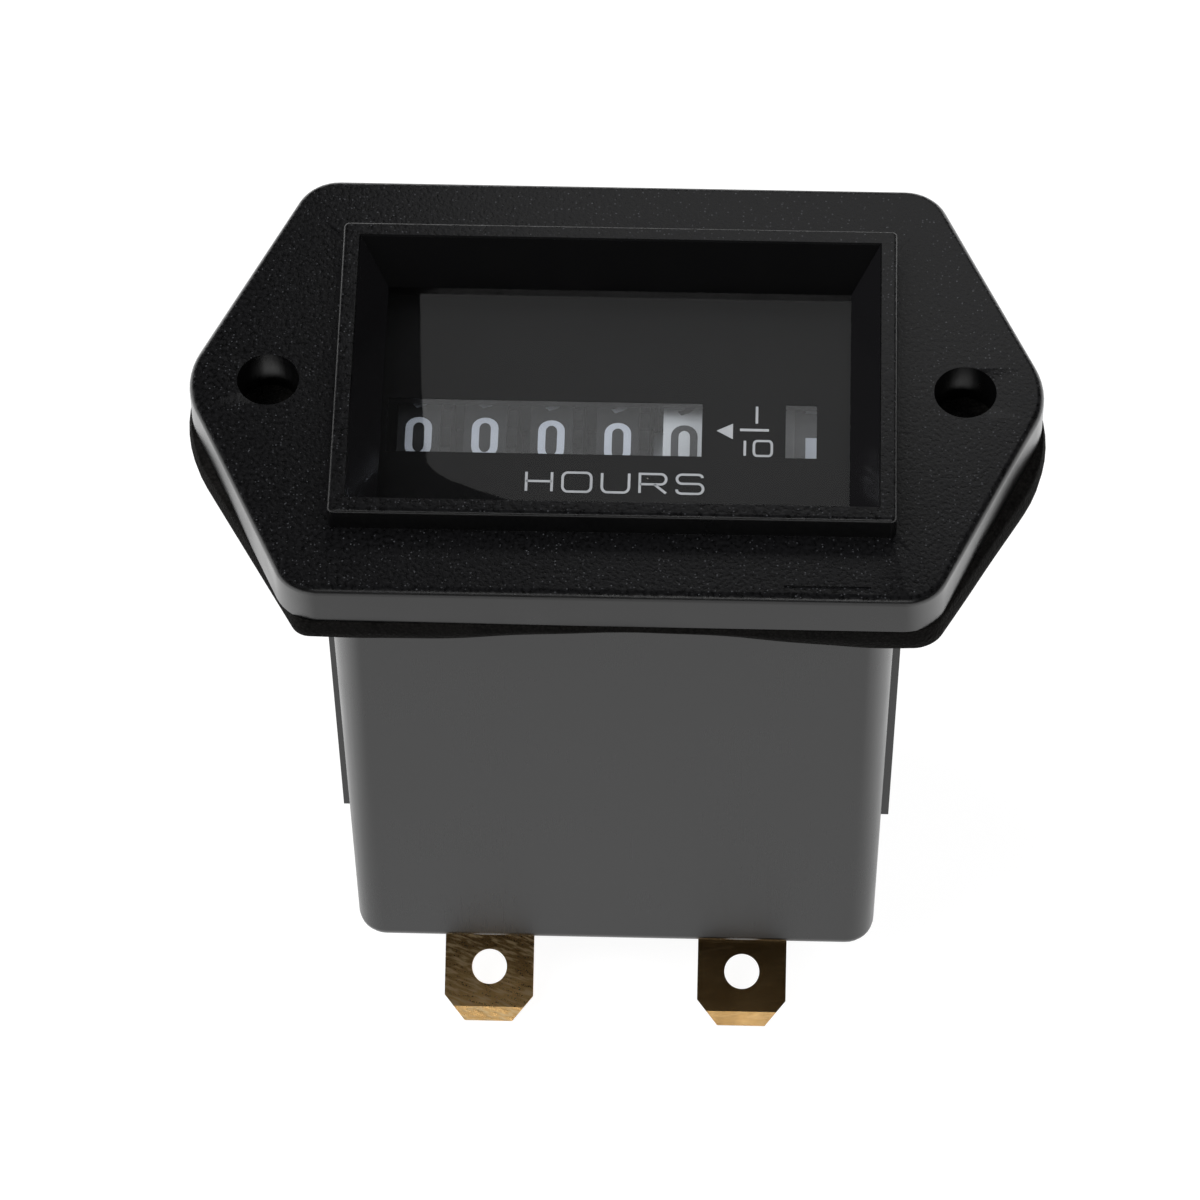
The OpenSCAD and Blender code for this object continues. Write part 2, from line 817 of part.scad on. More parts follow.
module core_rivets() {
    back = stator_x + stator_t;
    color([0.72, 0.7, 0.66])
    for (side = [-1, 1]) at_axis([side * peg_y, coil_z]) {
        rod_x(core_x - rivet_head_t, back + rivet_head_t, rivet_r);
        rod_x(core_x - rivet_head_t, core_x, rivet_head_r);
        rod_x(back, back + rivet_head_t, rivet_head_r);
    }
}

module bobbin_block(x_size, y_size, z_size) {
    translate([coil_x, 0, coil_z]) cube([x_size, y_size, z_size], center = true);
}

module coil_bobbin() {
    tube_x = core_t + 2 * slip + 2 * bobbin_wall;
    tube_z = core_h + 2 * slip + 2 * bobbin_wall;
    color([0.85, 0.85, 0.82])
    difference() {
        union() {
            bobbin_block(tube_x, bobbin_len, tube_z);
            for (side = [-1, 1])
                translate([0, side * (bobbin_len - bobbin_flange) / 2, 0])
                    bobbin_block(bobbin_size, bobbin_flange, bobbin_size);
        }
        bobbin_block(core_t + 2 * slip, bobbin_len + 2 * cut, core_h + 2 * slip);
    }
}

module coil_winding() {
    tube_x = core_t + 2 * slip + 2 * bobbin_wall;
    tube_z = core_h + 2 * slip + 2 * bobbin_wall;
    color([0.72, 0.35, 0.16])
    difference() {
        translate([coil_x, 0, coil_z]) rotate([90, 0, 0])
            cylinder(h = bobbin_len - 2 * bobbin_flange, r = coil_r, center = true);
        bobbin_block(tube_x, bobbin_len, tube_z);
    }
}

module coil_pins() {
    top = coil_z - bobbin_size / 2;
    color([0.75, 0.75, 0.76])
    for (side = [-1, 1])
        translate([coil_x, side * (bobbin_len - bobbin_flange) / 2, board_back - 0.4])
            cylinder(h = top - board_back + 0.4, r = coil_pin_r);
}

// Circuit board and its parts

module circuit_board() {
    color([0.1, 0.35, 0.18])
    difference() {
        translate([-board_w / 2, -board_h / 2, board_back]) cube([board_w, board_h, board_t]);
        for (side = [-1, 1]) {
            translate([side * blade_pitch / 2, blade_y - 1, board_back])
                cube([tang_w + 2 * slip, blade_t + 2 * slip + 2, 4], center = true);
            translate([coil_x, side * (bobbin_len - bobbin_flange) / 2, board_back - cut])
                cylinder(h = board_t + 2 * cut, r = coil_pin_r + slip);
            translate([diode_at[0], diode_at[1] + side * lead_span / 2, board_back - cut])
                cylinder(h = board_t + 2 * cut, r = lead_r + slip);
        }
    }
}

module quartz_crystal() {
    z = board_front + crystal_r + slip;
    end = crystal_at[0] + crystal_len / 2;
    color([0.78, 0.78, 0.8])
    translate([0, crystal_at[1], z]) {
        rod_x(crystal_at[0] - crystal_len / 2, end, crystal_r);
        for (side = [-0.4, 0.4]) translate([0, side, 0]) {
            rod_x(end - 0.2, end + 1, 0.2);
            translate([end + 0.8, 0, board_front - z]) cylinder(h = z - board_front + 0.2, r = 0.2);
        }
    }
}

module driver_chip() {
    stand = 0.15;
    leg_w = 0.4;
    leg_t = 0.2;
    reach = 1;
    color([0.08, 0.08, 0.08])
    translate([chip_at[0], chip_at[1], board_front]) {
        translate([-chip_size[0] / 2, -chip_size[1] / 2, stand]) cube(chip_size);
        for (side = [-1, 1], k = [-1.5 : 1 : 1.5])
            translate([k * 1.27, 0, 0]) mirror([0, side < 0 ? 1 : 0, 0])
                along_x(-leg_w / 2, leg_w) polygon([
                    [chip_size[1] / 2 - 0.2, stand + 0.6],
                    [chip_size[1] / 2 + 0.3, stand + 0.6],
                    [chip_size[1] / 2 + 0.3, 0],
                    [chip_size[1] / 2 + reach, 0],
                    [chip_size[1] / 2 + reach, leg_t],
                    [chip_size[1] / 2 + 0.3 + leg_t, leg_t],
                    [chip_size[1] / 2 + 0.3 + leg_t, stand + 0.6 + leg_t],
                    [chip_size[1] / 2 - 0.2, stand + 0.6 + leg_t]
                ]);
    }
}

module capacitor() {
    color([0.12, 0.16, 0.32])
    translate([capacitor_at[0], capacitor_at[1], board_front])
        cylinder(h = capacitor_h, r = capacitor_r);
}

module rectifier_diode() {
    z = board_front + diode_r + 0.3;
    color([0.1, 0.1, 0.1])
    translate([diode_at[0], diode_at[1], 0]) {
        translate([0, 0, z]) rotate([90, 0, 0]) {
            cylinder(h = diode_len, r = diode_r, center = true);
            cylinder(h = lead_span, r = lead_r, center = true);
        }
        for (side = [-1, 1])
            translate([0, side * lead_span / 2, board_back - 0.4])
                cylinder(h = z - board_back + 0.4 + lead_r, r = lead_r);
    }
}

bezel();
lens();
dial_plate();
gasket();
case_part();  // case
terminal(-1);  // terminal_left
terminal(1);  // terminal_right
counter_frame();
wheel_shaft();
number_wheel(1);  // number_wheel_1
number_wheel(2);  // number_wheel_2
number_wheel(3);  // number_wheel_3
number_wheel(4);  // number_wheel_4
number_wheel(5);  // number_wheel_5
pinion_shaft();
transfer_pinion(1);  // transfer_pinion_1
transfer_pinion(2);  // transfer_pinion_2
transfer_pinion(3);  // transfer_pinion_3
transfer_pinion(4);  // transfer_pinion_4
indicator_wheel();
second_gear();
drive_pinion();
first_gear();
rotor_pinion();
rotor_magnet();
stator();
coil_core();
core_rivets();
coil_bobbin();
coil_winding();
coil_pins();
circuit_board();
quartz_crystal();
driver_chip();
capacitor();
rectifier_diode();
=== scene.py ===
"""Looks of the panel hour meter: light, materials, printed marks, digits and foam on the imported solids."""
import math

import bmesh
import bpy
from mathutils import Matrix, Vector


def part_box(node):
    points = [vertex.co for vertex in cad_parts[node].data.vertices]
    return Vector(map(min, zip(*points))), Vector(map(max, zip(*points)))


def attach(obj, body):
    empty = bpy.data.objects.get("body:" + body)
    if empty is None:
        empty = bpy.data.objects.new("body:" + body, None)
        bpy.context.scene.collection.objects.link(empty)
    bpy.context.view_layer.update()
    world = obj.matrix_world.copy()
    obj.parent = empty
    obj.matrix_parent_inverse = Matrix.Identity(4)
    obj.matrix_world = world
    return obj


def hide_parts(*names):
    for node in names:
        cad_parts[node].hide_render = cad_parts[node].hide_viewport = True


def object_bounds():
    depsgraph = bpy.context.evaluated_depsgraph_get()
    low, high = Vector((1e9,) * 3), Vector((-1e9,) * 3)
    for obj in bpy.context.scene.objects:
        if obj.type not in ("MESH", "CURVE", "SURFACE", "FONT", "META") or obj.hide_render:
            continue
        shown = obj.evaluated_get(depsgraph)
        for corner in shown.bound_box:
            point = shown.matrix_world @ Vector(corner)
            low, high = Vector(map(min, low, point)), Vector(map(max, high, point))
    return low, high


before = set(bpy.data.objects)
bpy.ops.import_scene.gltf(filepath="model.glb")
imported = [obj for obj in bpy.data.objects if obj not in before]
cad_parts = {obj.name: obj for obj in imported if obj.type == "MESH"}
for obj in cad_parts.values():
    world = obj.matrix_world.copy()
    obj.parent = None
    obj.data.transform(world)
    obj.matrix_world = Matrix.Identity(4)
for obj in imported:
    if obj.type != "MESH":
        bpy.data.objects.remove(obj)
cad_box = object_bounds()

MM = 0.001
scene = bpy.context.scene
scene.view_settings.view_transform = "Standard"

# Camera
CAMERA_AZIMUTH = math.radians(1.9304)
CAMERA_ELEVATION = math.radians(54.1586)
CAMERA_ROLL = math.radians(0.4993)
CAMERA_DISTANCE = 436.963 * MM
CAMERA_CENTRE = Vector((0, 0, 0.42 * MM))
CAMERA_LENS = 198.48
CAMERA_SENSOR = 36
CAMERA_NEAR = 0.01
CAMERA_FAR = 20
# How far the aim lies off the centre, for each metre of distance
AIM_RIGHT = -0.002501
AIM_DOWN = 0.028331


def camera_axes():
    """Directions to the right, down and forward in the picture, before the aim is moved off the centre."""
    forward = Vector((
        -math.sin(CAMERA_AZIMUTH) * math.cos(CAMERA_ELEVATION),
        math.cos(CAMERA_AZIMUTH) * math.cos(CAMERA_ELEVATION),
        -math.sin(CAMERA_ELEVATION),
    ))
    level = Vector((math.cos(CAMERA_AZIMUTH), math.sin(CAMERA_AZIMUTH), 0))
    down = forward.cross(level)
    turn = Matrix.Rotation(CAMERA_ROLL, 3, forward)
    return turn @ level, turn @ down, forward


def place_camera():
    """Puts the camera in the scene and returns the place of its eye."""
    right, down, forward = camera_axes()
    eye = CAMERA_CENTRE - forward * CAMERA_DISTANCE
    aim = (forward + right * AIM_RIGHT + down * AIM_DOWN).normalized()
    side = (right - aim * right.dot(aim)).normalized()
    up = side.cross(aim)
    data = bpy.data.cameras.new("photo_camera")
    data.lens = CAMERA_LENS
    data.sensor_width = CAMERA_SENSOR
    data.clip_start = CAMERA_NEAR
    data.clip_end = CAMERA_FAR
    camera = bpy.data.objects.new("photo_camera", data)
    axes = Matrix((side, up, -aim)).transposed().to_4x4()
    camera.matrix_world = Matrix.Translation(eye) @ axes
    scene.collection.objects.link(camera)
    scene.camera = camera
    return eye


eye = place_camera()

# Node helpers
WHITE = (1, 1, 1)
# Parts of a noise pattern's range that a tone or a roughness spreads over
WIDE = (0.3, 0.7)
MIDDLE = (0.35, 0.65)
# Share of a speck's radius that is full, and the level of the faintest speck
SPECK_CORE = 0.6
SPECK_FAINT = 0.25


def opaque(colour):
    return (*colour, 1)


def add(tree, kind, **values):
    """A new node; values are its settings, or its inputs with _ for a space."""
    node = tree.nodes.new(kind)
    for name, value in values.items():
        if hasattr(node, name):
            setattr(node, name, value)
        else:
            node.inputs[name.replace("_", " ")].default_value = value
    return node


def join(tree, source, target):
    tree.links.new(source, target)


def give(tree, value, target):
    """Gives an input a number, a colour or another node's output."""
    if isinstance(value, (int, float)):
        target.default_value = value
    elif isinstance(value, tuple):
        target.default_value = opaque(value)
    else:
        join(tree, value, target)


def maths(tree, operation, *values):
    node = add(tree, "ShaderNodeMath", operation=operation)
    for value, socket in zip(values, node.inputs):
        give(tree, value, socket)
    return node.outputs[0]


def times(tree, first, second):
    return maths(tree, "MULTIPLY", first, second)


def plus(tree, first, second):
    return maths(tree, "ADD", first, second)


def span(tree, source, low, high, to_low, to_high):
    """The source's range from low to high, moved to another range and kept inside it."""
    node = add(tree, "ShaderNodeMapRange", From_Min=low, From_Max=high, To_Min=to_low, To_Max=to_high)
    join(tree, source, node.inputs["Value"])
    return node.outputs["Result"]


def mixed(tree, share, first, second):
    """A colour between two colours."""
    node = add(tree, "ShaderNodeMix", data_type="RGBA")
    join(tree, share, node.inputs["Factor"])
    colours = [socket for socket in node.inputs if socket.type == "RGBA"]
    for value, socket in zip((first, second), colours):
        give(tree, value, socket)
    return next(socket for socket in node.outputs if socket.type == "RGBA")


def between(tree, share, first, second):
    """A number between two outputs."""
    node = add(tree, "ShaderNodeMix", data_type="FLOAT")
    for value, name in ((share, "Factor"), (first, "A"), (second, "B")):
        join(tree, value, node.inputs[name])
    return node.outputs["Result"]


def mixed_shaders(tree, share, first, second):
    node = add(tree, "ShaderNodeMixShader")
    for value, socket in zip((share, first.outputs[0], second.outputs[0]), node.inputs):
        join(tree, value, socket)
    return node


def along(tree, vector, axis):
    """One coordinate of a vector."""
    parts = add(tree, "ShaderNodeSeparateXYZ")
    join(tree, vector, parts.inputs[0])
    return parts.outputs[axis]


def size_along(tree, vector, axis):
    """One coordinate of a vector without its sign."""
    return maths(tree, "ABSOLUTE", along(tree, vector, axis))


def place_of(tree):
    """The point on the object in metres."""
    return add(tree, "ShaderNodeTexCoord").outputs["Object"]


def stretched_place(tree, stretch, turn=0):
    """The point on the object, stretched along axes that are turned about z."""
    mapping = add(tree, "ShaderNodeMapping", vector_type="TEXTURE")
    mapping.inputs["Rotation"].default_value = (0, 0, turn)
    mapping.inputs["Scale"].default_value = [1 / share for share in stretch]
    join(tree, place_of(tree), mapping.inputs["Vector"])
    return mapping.outputs["Vector"]


def noise(tree, size, detail=3, point=None):
    """Smooth random pattern whose spots are about the given size in metres."""
    node = add(tree, "ShaderNodeTexNoise", Scale=1 / size, Detail=detail)
    join(tree, point or place_of(tree), node.inputs["Vector"])
    return node.outputs["Fac"]


def cells_of(tree, size):
    """A pattern of cells of about the given size in metres."""
    node = add(tree, "ShaderNodeTexVoronoi", Scale=1 / size)
    join(tree, place_of(tree), node.inputs["Vector"])
    return node


def specks(tree, size, spread, share):
    """Small round spots, one in a share of cells of the given spread, as a mask from 0 to 1."""
    cells = cells_of(tree, spread)
    near = span(tree, cells.outputs["Distance"], size / spread, SPECK_CORE * size / spread, 0, 1)
    pick = add(tree, "ShaderNodeSeparateColor")
    join(tree, cells.outputs["Color"], pick.inputs["Color"])
    chosen = maths(tree, "LESS_THAN", pick.outputs["Red"], share)
    shade = span(tree, pick.outputs["Green"], 0, 1, SPECK_FAINT, 1)
    return times(tree, times(tree, near, chosen), shade)


def bump(tree, shader, height, depth, strength):
    node = add(tree, "ShaderNodeBump", Strength=strength, Distance=depth)
    join(tree, height, node.inputs["Height"])
    join(tree, node.outputs["Normal"], shader.inputs["Normal"])


def blank_tree(holder):
    """The empty node tree of a material or a world."""
    holder.use_nodes = True
    holder.node_tree.nodes.clear()
    return holder.node_tree


def shaded_material(name):
    """A material with an output only, with its tree and the input for its surface."""
    material = bpy.data.materials.new(name)
    tree = blank_tree(material)
    return material, tree, add(tree, "ShaderNodeOutputMaterial").inputs["Surface"]


def new_material(name, **values):
    """A material with the usual shader, whose inputs take the values."""
    material, tree, surface = shaded_material(name)
    shader = add(tree, "ShaderNodeBsdfPrincipled", **values)
    join(tree, shader.outputs["BSDF"], surface)
    return material, tree, shader


# Studio: white floor, pale horizon, three lamps and a card that the lens mirrors
FLOOR_SIZE = 6.0
FLOOR_GAP = 0.05 * MM
FLOOR_TONE = (0.2, 0.2, 0.2)
FLOOR_GLOW = 0.93
# Signs of the four corners of a box, in turn
SQUARE = ((1, 1), (-1, 1), (-1, -1), (1, -1))
# Glow of the floor as gloss mirrors it: in front of the object and beside it
MIRROR_FRONT = 0.72
MIRROR_SIDE = 1.5
MIRROR_START = 0.025
MIRROR_END = 0.055
ROOM_LEVEL = 0.03
# Heights between which the pale horizon fades, and where it starts in depth
HORIZON_FADE = 0.1
HORIZON_TOP = 0.2
HORIZON_FRONT = -0.35
# Lamps as place in metres, size and watts
LAMPS = {
    "left_lamp": ((-0.75, -0.05, 0.72), 1.1, 15.0),
    "right_lamp": ((0.8, -0.1, 0.6), 0.8, 5.0),
    "front_lamp": ((0.1, -0.85, 0.64), 0.3, 0.9),
}
# Lamps that gloss doesn't mirror
SOFT_LAMPS = ("left_lamp", "right_lamp")
CARD_HEIGHT = 0.06
CARD_GLOW = 0.54
CARD_RIGHT = 0.055
CARD_BACK = 0.05
# Edge of the card's picture in the lens, as x and y on the lens in mm
CARD_EDGE = (
    (-13.6, 12), (-13.3, 8.4), (-12.9, 1.1), (-12.5, -3.7), (-12.2, -5.6), (-11.6, -6.3),
    (-10.7, -6.9), (-9.0, -7.6), (-7.0, -8.3), (-3.0, -9.4), (2.0, -10.6),
)


def shiny_ray(tree):
    """1 for rays from mirrors and clear pieces."""
    path = add(tree, "ShaderNodeLightPath")
    return maths(tree, "MAXIMUM", path.outputs["Is Glossy Ray"], path.outputs["Is Transmission Ray"])


def camera_ray(tree):
    """1 for rays straight from the picture."""
    return add(tree, "ShaderNodeLightPath").outputs["Is Camera Ray"]


def floor_glow(tree):
    """Strength of the floor's own light: even in the picture, weaker in front of the object for gloss."""
    beside = size_along(tree, place_of(tree), "X")
    mirrored_glow = span(tree, beside, MIRROR_START, MIRROR_END, MIRROR_FRONT, MIRROR_SIDE)
    shiny = times(tree, shiny_ray(tree), mirrored_glow)
    return maths(tree, "MAXIMUM", shiny, times(tree, camera_ray(tree), FLOOR_GLOW))


def staged_sheet(name, corners, material):
    """A flat piece of the studio, which isn't part of the object."""
    mesh = bpy.data.meshes.new(name)
    mesh.from_pydata(corners, [], [list(range(len(corners)))])
    mesh.materials.append(material)
    made = bpy.data.objects.new(name, mesh)
    scene.collection.objects.link(made)
    return made


def make_floor():
    material, tree, surface = shaded_material("studio_white")
    paint = add(tree, "ShaderNodeBsdfDiffuse", Color=opaque(FLOOR_TONE))
    glow = add(tree, "ShaderNodeEmission")
    join(tree, floor_glow(tree), glow.inputs["Strength"])
    both = add(tree, "ShaderNodeAddShader")
    for shader, socket in zip((paint, glow), both.inputs):
        join(tree, shader.outputs[0], socket)
    join(tree, both.outputs[0], surface)
    half = FLOOR_SIZE / 2
    low = cad_box[0][2] - FLOOR_GAP
    staged_sheet("studio_floor", [(x * half, y * half, low) for x, y in SQUARE], material)


def make_world():
    scene.world = bpy.data.worlds.new("studio")
    tree = blank_tree(scene.world)
    room = add(tree, "ShaderNodeBackground", Color=opaque(WHITE))
    way = add(tree, "ShaderNodeTexCoord").outputs["Generated"]
    low = span(tree, along(tree, way, "Z"), HORIZON_FADE, HORIZON_TOP, 1, 0)
    behind = span(tree, along(tree, way, "Y"), HORIZON_FRONT, 0, 0, 1)
    pale = times(tree, shiny_ray(tree), times(tree, low, behind))
    seen = maths(tree, "MAXIMUM", camera_ray(tree), pale)
    join(tree, span(tree, seen, 0, 1, ROOM_LEVEL, 1), room.inputs["Strength"])
    join(tree, room.outputs[0], add(tree, "ShaderNodeOutputWorld").inputs["Surface"])


def make_lamps():
    for name, (place, size, watts) in LAMPS.items():
        data = bpy.data.lights.new(name, "AREA")
        data.size = size
        data.energy = watts
        lamp = bpy.data.objects.new(name, data)
        lamp.location = place
        lamp.visible_glossy = name not in SOFT_LAMPS
        lamp.rotation_euler = (-Vector(place)).to_track_quat("-Z", "Y").to_euler()
        scene.collection.objects.link(lamp)


def mirrored(x, y):
    """Where the eye's ray meets the card's height after the lens mirrors it at x and y in mm."""
    point = Vector((x * MM, y * MM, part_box("lens")[1][2]))
    ray = point - eye
    step = (CARD_HEIGHT - point.z) / -ray.z
    return (point.x + ray.x * step, point.y + ray.y * step, CARD_HEIGHT)


def make_card():
    edge = [mirrored(*place) for place in CARD_EDGE]
    left = edge[0][0]
    front = edge[-1][1]
    back = edge[0][1] + CARD_BACK
    others = [(x, y, CARD_HEIGHT) for x, y in ((CARD_RIGHT, front), (CARD_RIGHT, back), (left, back))]
    material, tree, surface = shaded_material("card_glow")
    join(tree, add(tree, "ShaderNodeEmission", Strength=CARD_GLOW).outputs[0], surface)
    card = staged_sheet("reflector_card", edge + others, material)
    card.visible_camera = False
    card.visible_diffuse = False
    card.visible_shadow = False


make_floor()
make_world()
make_lamps()
make_card()

# Bezel: grained black plastic with smoother, darker sides and recess walls, and painted light making the
# recess's sideways walls lighter
BEZEL_IOR = 1.55
RECESS_HALF_W = 17.25 * MM
RECESS_HALF_H = 10.6 * MM
# Parts of the normal between which a face starts to count as looking along an axis
FACE_RANGE = (0.6, 0.9)
PAINTED_LIGHT_WALL_RANGE = (0.4, 0.7)
GRAIN_SIZE = 0.26 * MM
GRAIN_DARK = (0.0014, 0.0014, 0.0016)
GRAIN_LIGHT = (0.007, 0.007, 0.0077)
GRAIN_ROUGH = (0.24, 0.4)
GRAIN_DEPTH = 0.042 * MM
GRAIN_STRENGTH = 0.8
BEZEL_CLOUD_SIZE = 4 * MM
BEZEL_CLOUD_TONE = (0.0052, 0.0052, 0.0058)
BEZEL_CLOUD_SHARE = 0.3
BEZEL_CLOUD_HEIGHT = 0.1
WALL_DARK = (0.0026, 0.0026, 0.0028)
# Painted light: tone of the recess's walls that face sideways
SIDE_WALL_PAINTED_LIGHT = (0.0075, 0.0073, 0.0081)
WALL_ROUGH = (0.26, 0.36)
RECESS_SMOOTH = 0.16
GLINT_SIZE = 0.06 * MM
GLINT_SPREAD = 0.26 * MM
GLINT_CELLS = 0.55
GLINT_SHARE = 0.2
GLINT_TONE = (0.32, 0.33, 0.36)


def facing(tree, axis, limits):
    """1 on faces that look along an axis or against it, 0 on the others."""
    normal = add(tree, "ShaderNodeNewGeometry").outputs["Normal"]
    return span(tree, size_along(tree, normal, axis), *limits, 0, 1)


def inside_recess(tree):
    """1 on the walls of the bezel's recess."""
    across = maths(tree, "LESS_THAN", size_along(tree, place_of(tree), "X"), RECESS_HALF_W)
    upward = maths(tree, "LESS_THAN", size_along(tree, place_of(tree), "Y"), RECESS_HALF_H)
    return times(tree, across, upward)


def bezel_plastic():
    material, tree, shader = new_material("bezel_black_grained", IOR=BEZEL_IOR)
    face = facing(tree, "Z", FACE_RANGE)
    recess = inside_recess(tree)
    grain = noise(tree, GRAIN_SIZE)
    cloud = noise(tree, BEZEL_CLOUD_SIZE)
    tone = mixed(tree, span(tree, grain, *MIDDLE, 0, 1), GRAIN_DARK, GRAIN_LIGHT)
    tone = mixed(tree, span(tree, cloud, *MIDDLE, 0, BEZEL_CLOUD_SHARE), tone, BEZEL_CLOUD_TONE)
    # Painted light: the recess's walls that face sideways get a lighter tone, as if the lamps lit them
    painted_light_walls = times(tree, recess, facing(tree, "X", PAINTED_LIGHT_WALL_RANGE))
    tone = mixed(tree, face, mixed(tree, painted_light_walls, WALL_DARK, SIDE_WALL_PAINTED_LIGHT), tone)
    glint = times(tree, specks(tree, GLINT_SIZE, GLINT_SPREAD, GLINT_CELLS), face)
    tone = mixed(tree, times(tree, glint, GLINT_SHARE), tone, GLINT_TONE)
    join(tree, tone, shader.inputs["Base Color"])
    wall_rough = span(tree, cloud, *WIDE, *WALL_ROUGH)
    wall_rough = maths(tree, "SUBTRACT", wall_rough, times(tree, recess, RECESS_SMOOTH))
    rough = between(tree, face, wall_rough, span(tree, grain, *WIDE, *GRAIN_ROUGH))
    join(tree, rough, shader.inputs["Roughness"])
    height = plus(tree, times(tree, grain, face), times(tree, cloud, BEZEL_CLOUD_HEIGHT))
    bump(tree, shader, height, GRAIN_DEPTH, GRAIN_STRENGTH)
    return material


# Case: smooth black plastic with faint rubs along its depth and a little dust
CASE_IOR = 1.52
CASE_DARK = (0.0075, 0.0078, 0.008)
CASE_LIGHT = (0.0125, 0.0128, 0.0132)
CASE_ROUGH = (0.2, 0.28)
CASE_CLOUD_SIZE = 7 * MM
CASE_SKIN_SIZE = 0.5 * MM
CASE_SKIN_DETAIL = 2
CASE_SKIN_HEIGHT = 0.12
CASE_SKIN_DEPTH = 0.03 * MM
CASE_STRENGTH = 0.35
RUB_SIZE = 1.2 * MM
RUB_DETAIL = 4
RUB_STRETCH = (6, 6, 0.35)
RUB_RANGE = (0.45, 0.75)
RUB_ROUGH = 0.04
CASE_DUST_SIZE = 0.05 * MM
CASE_DUST_SPREAD = 1.6 * MM
CASE_DUST_CELLS = 0.25
CASE_DUST_SHARE = 0.35
CASE_DUST_TONE = (0.3, 0.3, 0.29)


def case_plastic():
    material, tree, shader = new_material("case_black_satin", IOR=CASE_IOR)
    cloud = noise(tree, CASE_CLOUD_SIZE)
    skin = noise(tree, CASE_SKIN_SIZE, CASE_SKIN_DETAIL)
    rub = noise(tree, RUB_SIZE, RUB_DETAIL, stretched_place(tree, RUB_STRETCH))
    dust = specks(tree, CASE_DUST_SIZE, CASE_DUST_SPREAD, CASE_DUST_CELLS)
    tone = mixed(tree, span(tree, cloud, *WIDE, 0, 1), CASE_DARK, CASE_LIGHT)
    tone = mixed(tree, times(tree, dust, CASE_DUST_SHARE), tone, CASE_DUST_TONE)
    join(tree, tone, shader.inputs["Base Color"])
    rough = plus(tree, span(tree, cloud, *WIDE, *CASE_ROUGH), span(tree, rub, *RUB_RANGE, 0, RUB_ROUGH))
    join(tree, rough, shader.inputs["Roughness"])
    height = plus(tree, cloud, times(tree, skin, CASE_SKIN_HEIGHT))
    bump(tree, shader, height, CASE_SKIN_DEPTH, CASE_STRENGTH)
    return material


# Blade terminals: rolled brass, with painted shade darkening it towards the case
BRASS_DARK = (0.5, 0.3, 0.115)
BRASS_LIGHT = (0.7, 0.44, 0.18)
STAIN_SIZE = 2.2 * MM
STAIN_DETAIL = 4
STAIN_RANGE = (0.35, 0.7)
ROOT_PAINTED_SHADE_TONE = (0.1, 0.06, 0.025)
PAINTED_SHADE_START = -48.6 * MM
PAINTED_SHADE_END = -51.6 * MM
SCRATCH_SIZE = 0.7 * MM
SCRATCH_DETAIL = 4
SCRATCH_STRETCH = (0.3, 3.5, 3.5)
SCRATCH_RANGE = (0.5, 0.62)
SCRATCH_TONE = (0.9, 0.68, 0.38)
SCRATCH_ROUGH_RANGE = (0.4, 0.65)
SCRATCH_ROUGH = 0.12
SCRATCH_DEPTH = 0.014 * MM
FINE_SIZE = 0.12 * MM
FINE_ROUGH = 0.05
FINE_HEIGHT = 0.3


def painted_light_scaled(colour, shade):
    return tuple(part * shade for part in colour)


def brass(name, turn, scratch, shade, rough_low):
    """Rolled brass with long scratches along the given turn; shade scales its colours as painted light above
    1 and as painted shade below 1.
    """
    material, tree, shader = new_material(name, Metallic=1.0)
    lines = noise(tree, SCRATCH_SIZE, SCRATCH_DETAIL, stretched_place(tree, SCRATCH_STRETCH, turn))
    fine = noise(tree, FINE_SIZE)
    stain = span(tree, noise(tree, STAIN_SIZE, STAIN_DETAIL), *STAIN_RANGE, 0, 1)
    tone = mixed(tree, stain, painted_light_scaled(BRASS_DARK, shade), painted_light_scaled(BRASS_LIGHT, shade))
    # Painted shade: the brass is darkened near the case, where the case shades it
    painted_shade_share = span(tree, along(tree, place_of(tree), "Z"), PAINTED_SHADE_END, PAINTED_SHADE_START, 0, 1)
    tone = mixed(tree, painted_shade_share, tone, painted_light_scaled(ROOT_PAINTED_SHADE_TONE, shade))
    tone = mixed(tree, span(tree, lines, *SCRATCH_RANGE, 0, scratch), tone, SCRATCH_TONE)
    join(tree, tone, shader.inputs["Base Color"])
    rough_high = rough_low + SCRATCH_ROUGH * scratch
    line_rough = span(tree, lines, *SCRATCH_ROUGH_RANGE, rough_low, rough_high)
    join(tree, plus(tree, line_rough, span(tree, fine, *WIDE, 0, FINE_ROUGH)), shader.inputs["Roughness"])
    bump(tree, shader, plus(tree, lines, times(tree, fine, FINE_HEIGHT)), SCRATCH_DEPTH, scratch)
    return material


# Clear sheets: the lens and the film behind it
CLEAR_TONE = (0.955, 0.96, 0.965)
CLEAR_ROUGH = 0.015
LENS_DUST_TONE = (0.55, 0.52, 0.48)
LENS_DUST_SIZE = 0.07 * MM
LENS_DUST_SPREAD = 1.9 * MM
LENS_DUST_CELLS = 0.22


def clear_sheet(name, index, dusty):
    """Clear plastic that mirrors by Fresnel at the given index, with some dust on its front."""
    material, tree, surface = shaded_material(name)
    clear = add(tree, "ShaderNodeBsdfTransparent", Color=opaque(CLEAR_TONE))
    gloss = add(tree, "ShaderNodeBsdfGlossy", Color=opaque(WHITE), Roughness=CLEAR_ROUGH)
    edge = add(tree, "ShaderNodeFresnel", IOR=index).outputs[0]
    front = maths(tree, "SUBTRACT", 1, add(tree, "ShaderNodeNewGeometry").outputs["Backfacing"])
    shine = mixed_shaders(tree, times(tree, edge, front), clear, gloss)
    dust = add(tree, "ShaderNodeBsdfDiffuse", Color=opaque(LENS_DUST_TONE))
    spots = times(tree, specks(tree, LENS_DUST_SIZE, LENS_DUST_SPREAD, LENS_DUST_CELLS), front)
    dusted = mixed_shaders(tree, times(tree, spots, dusty), shine, dust)
    join(tree, dusted.outputs[0], surface)
    return material


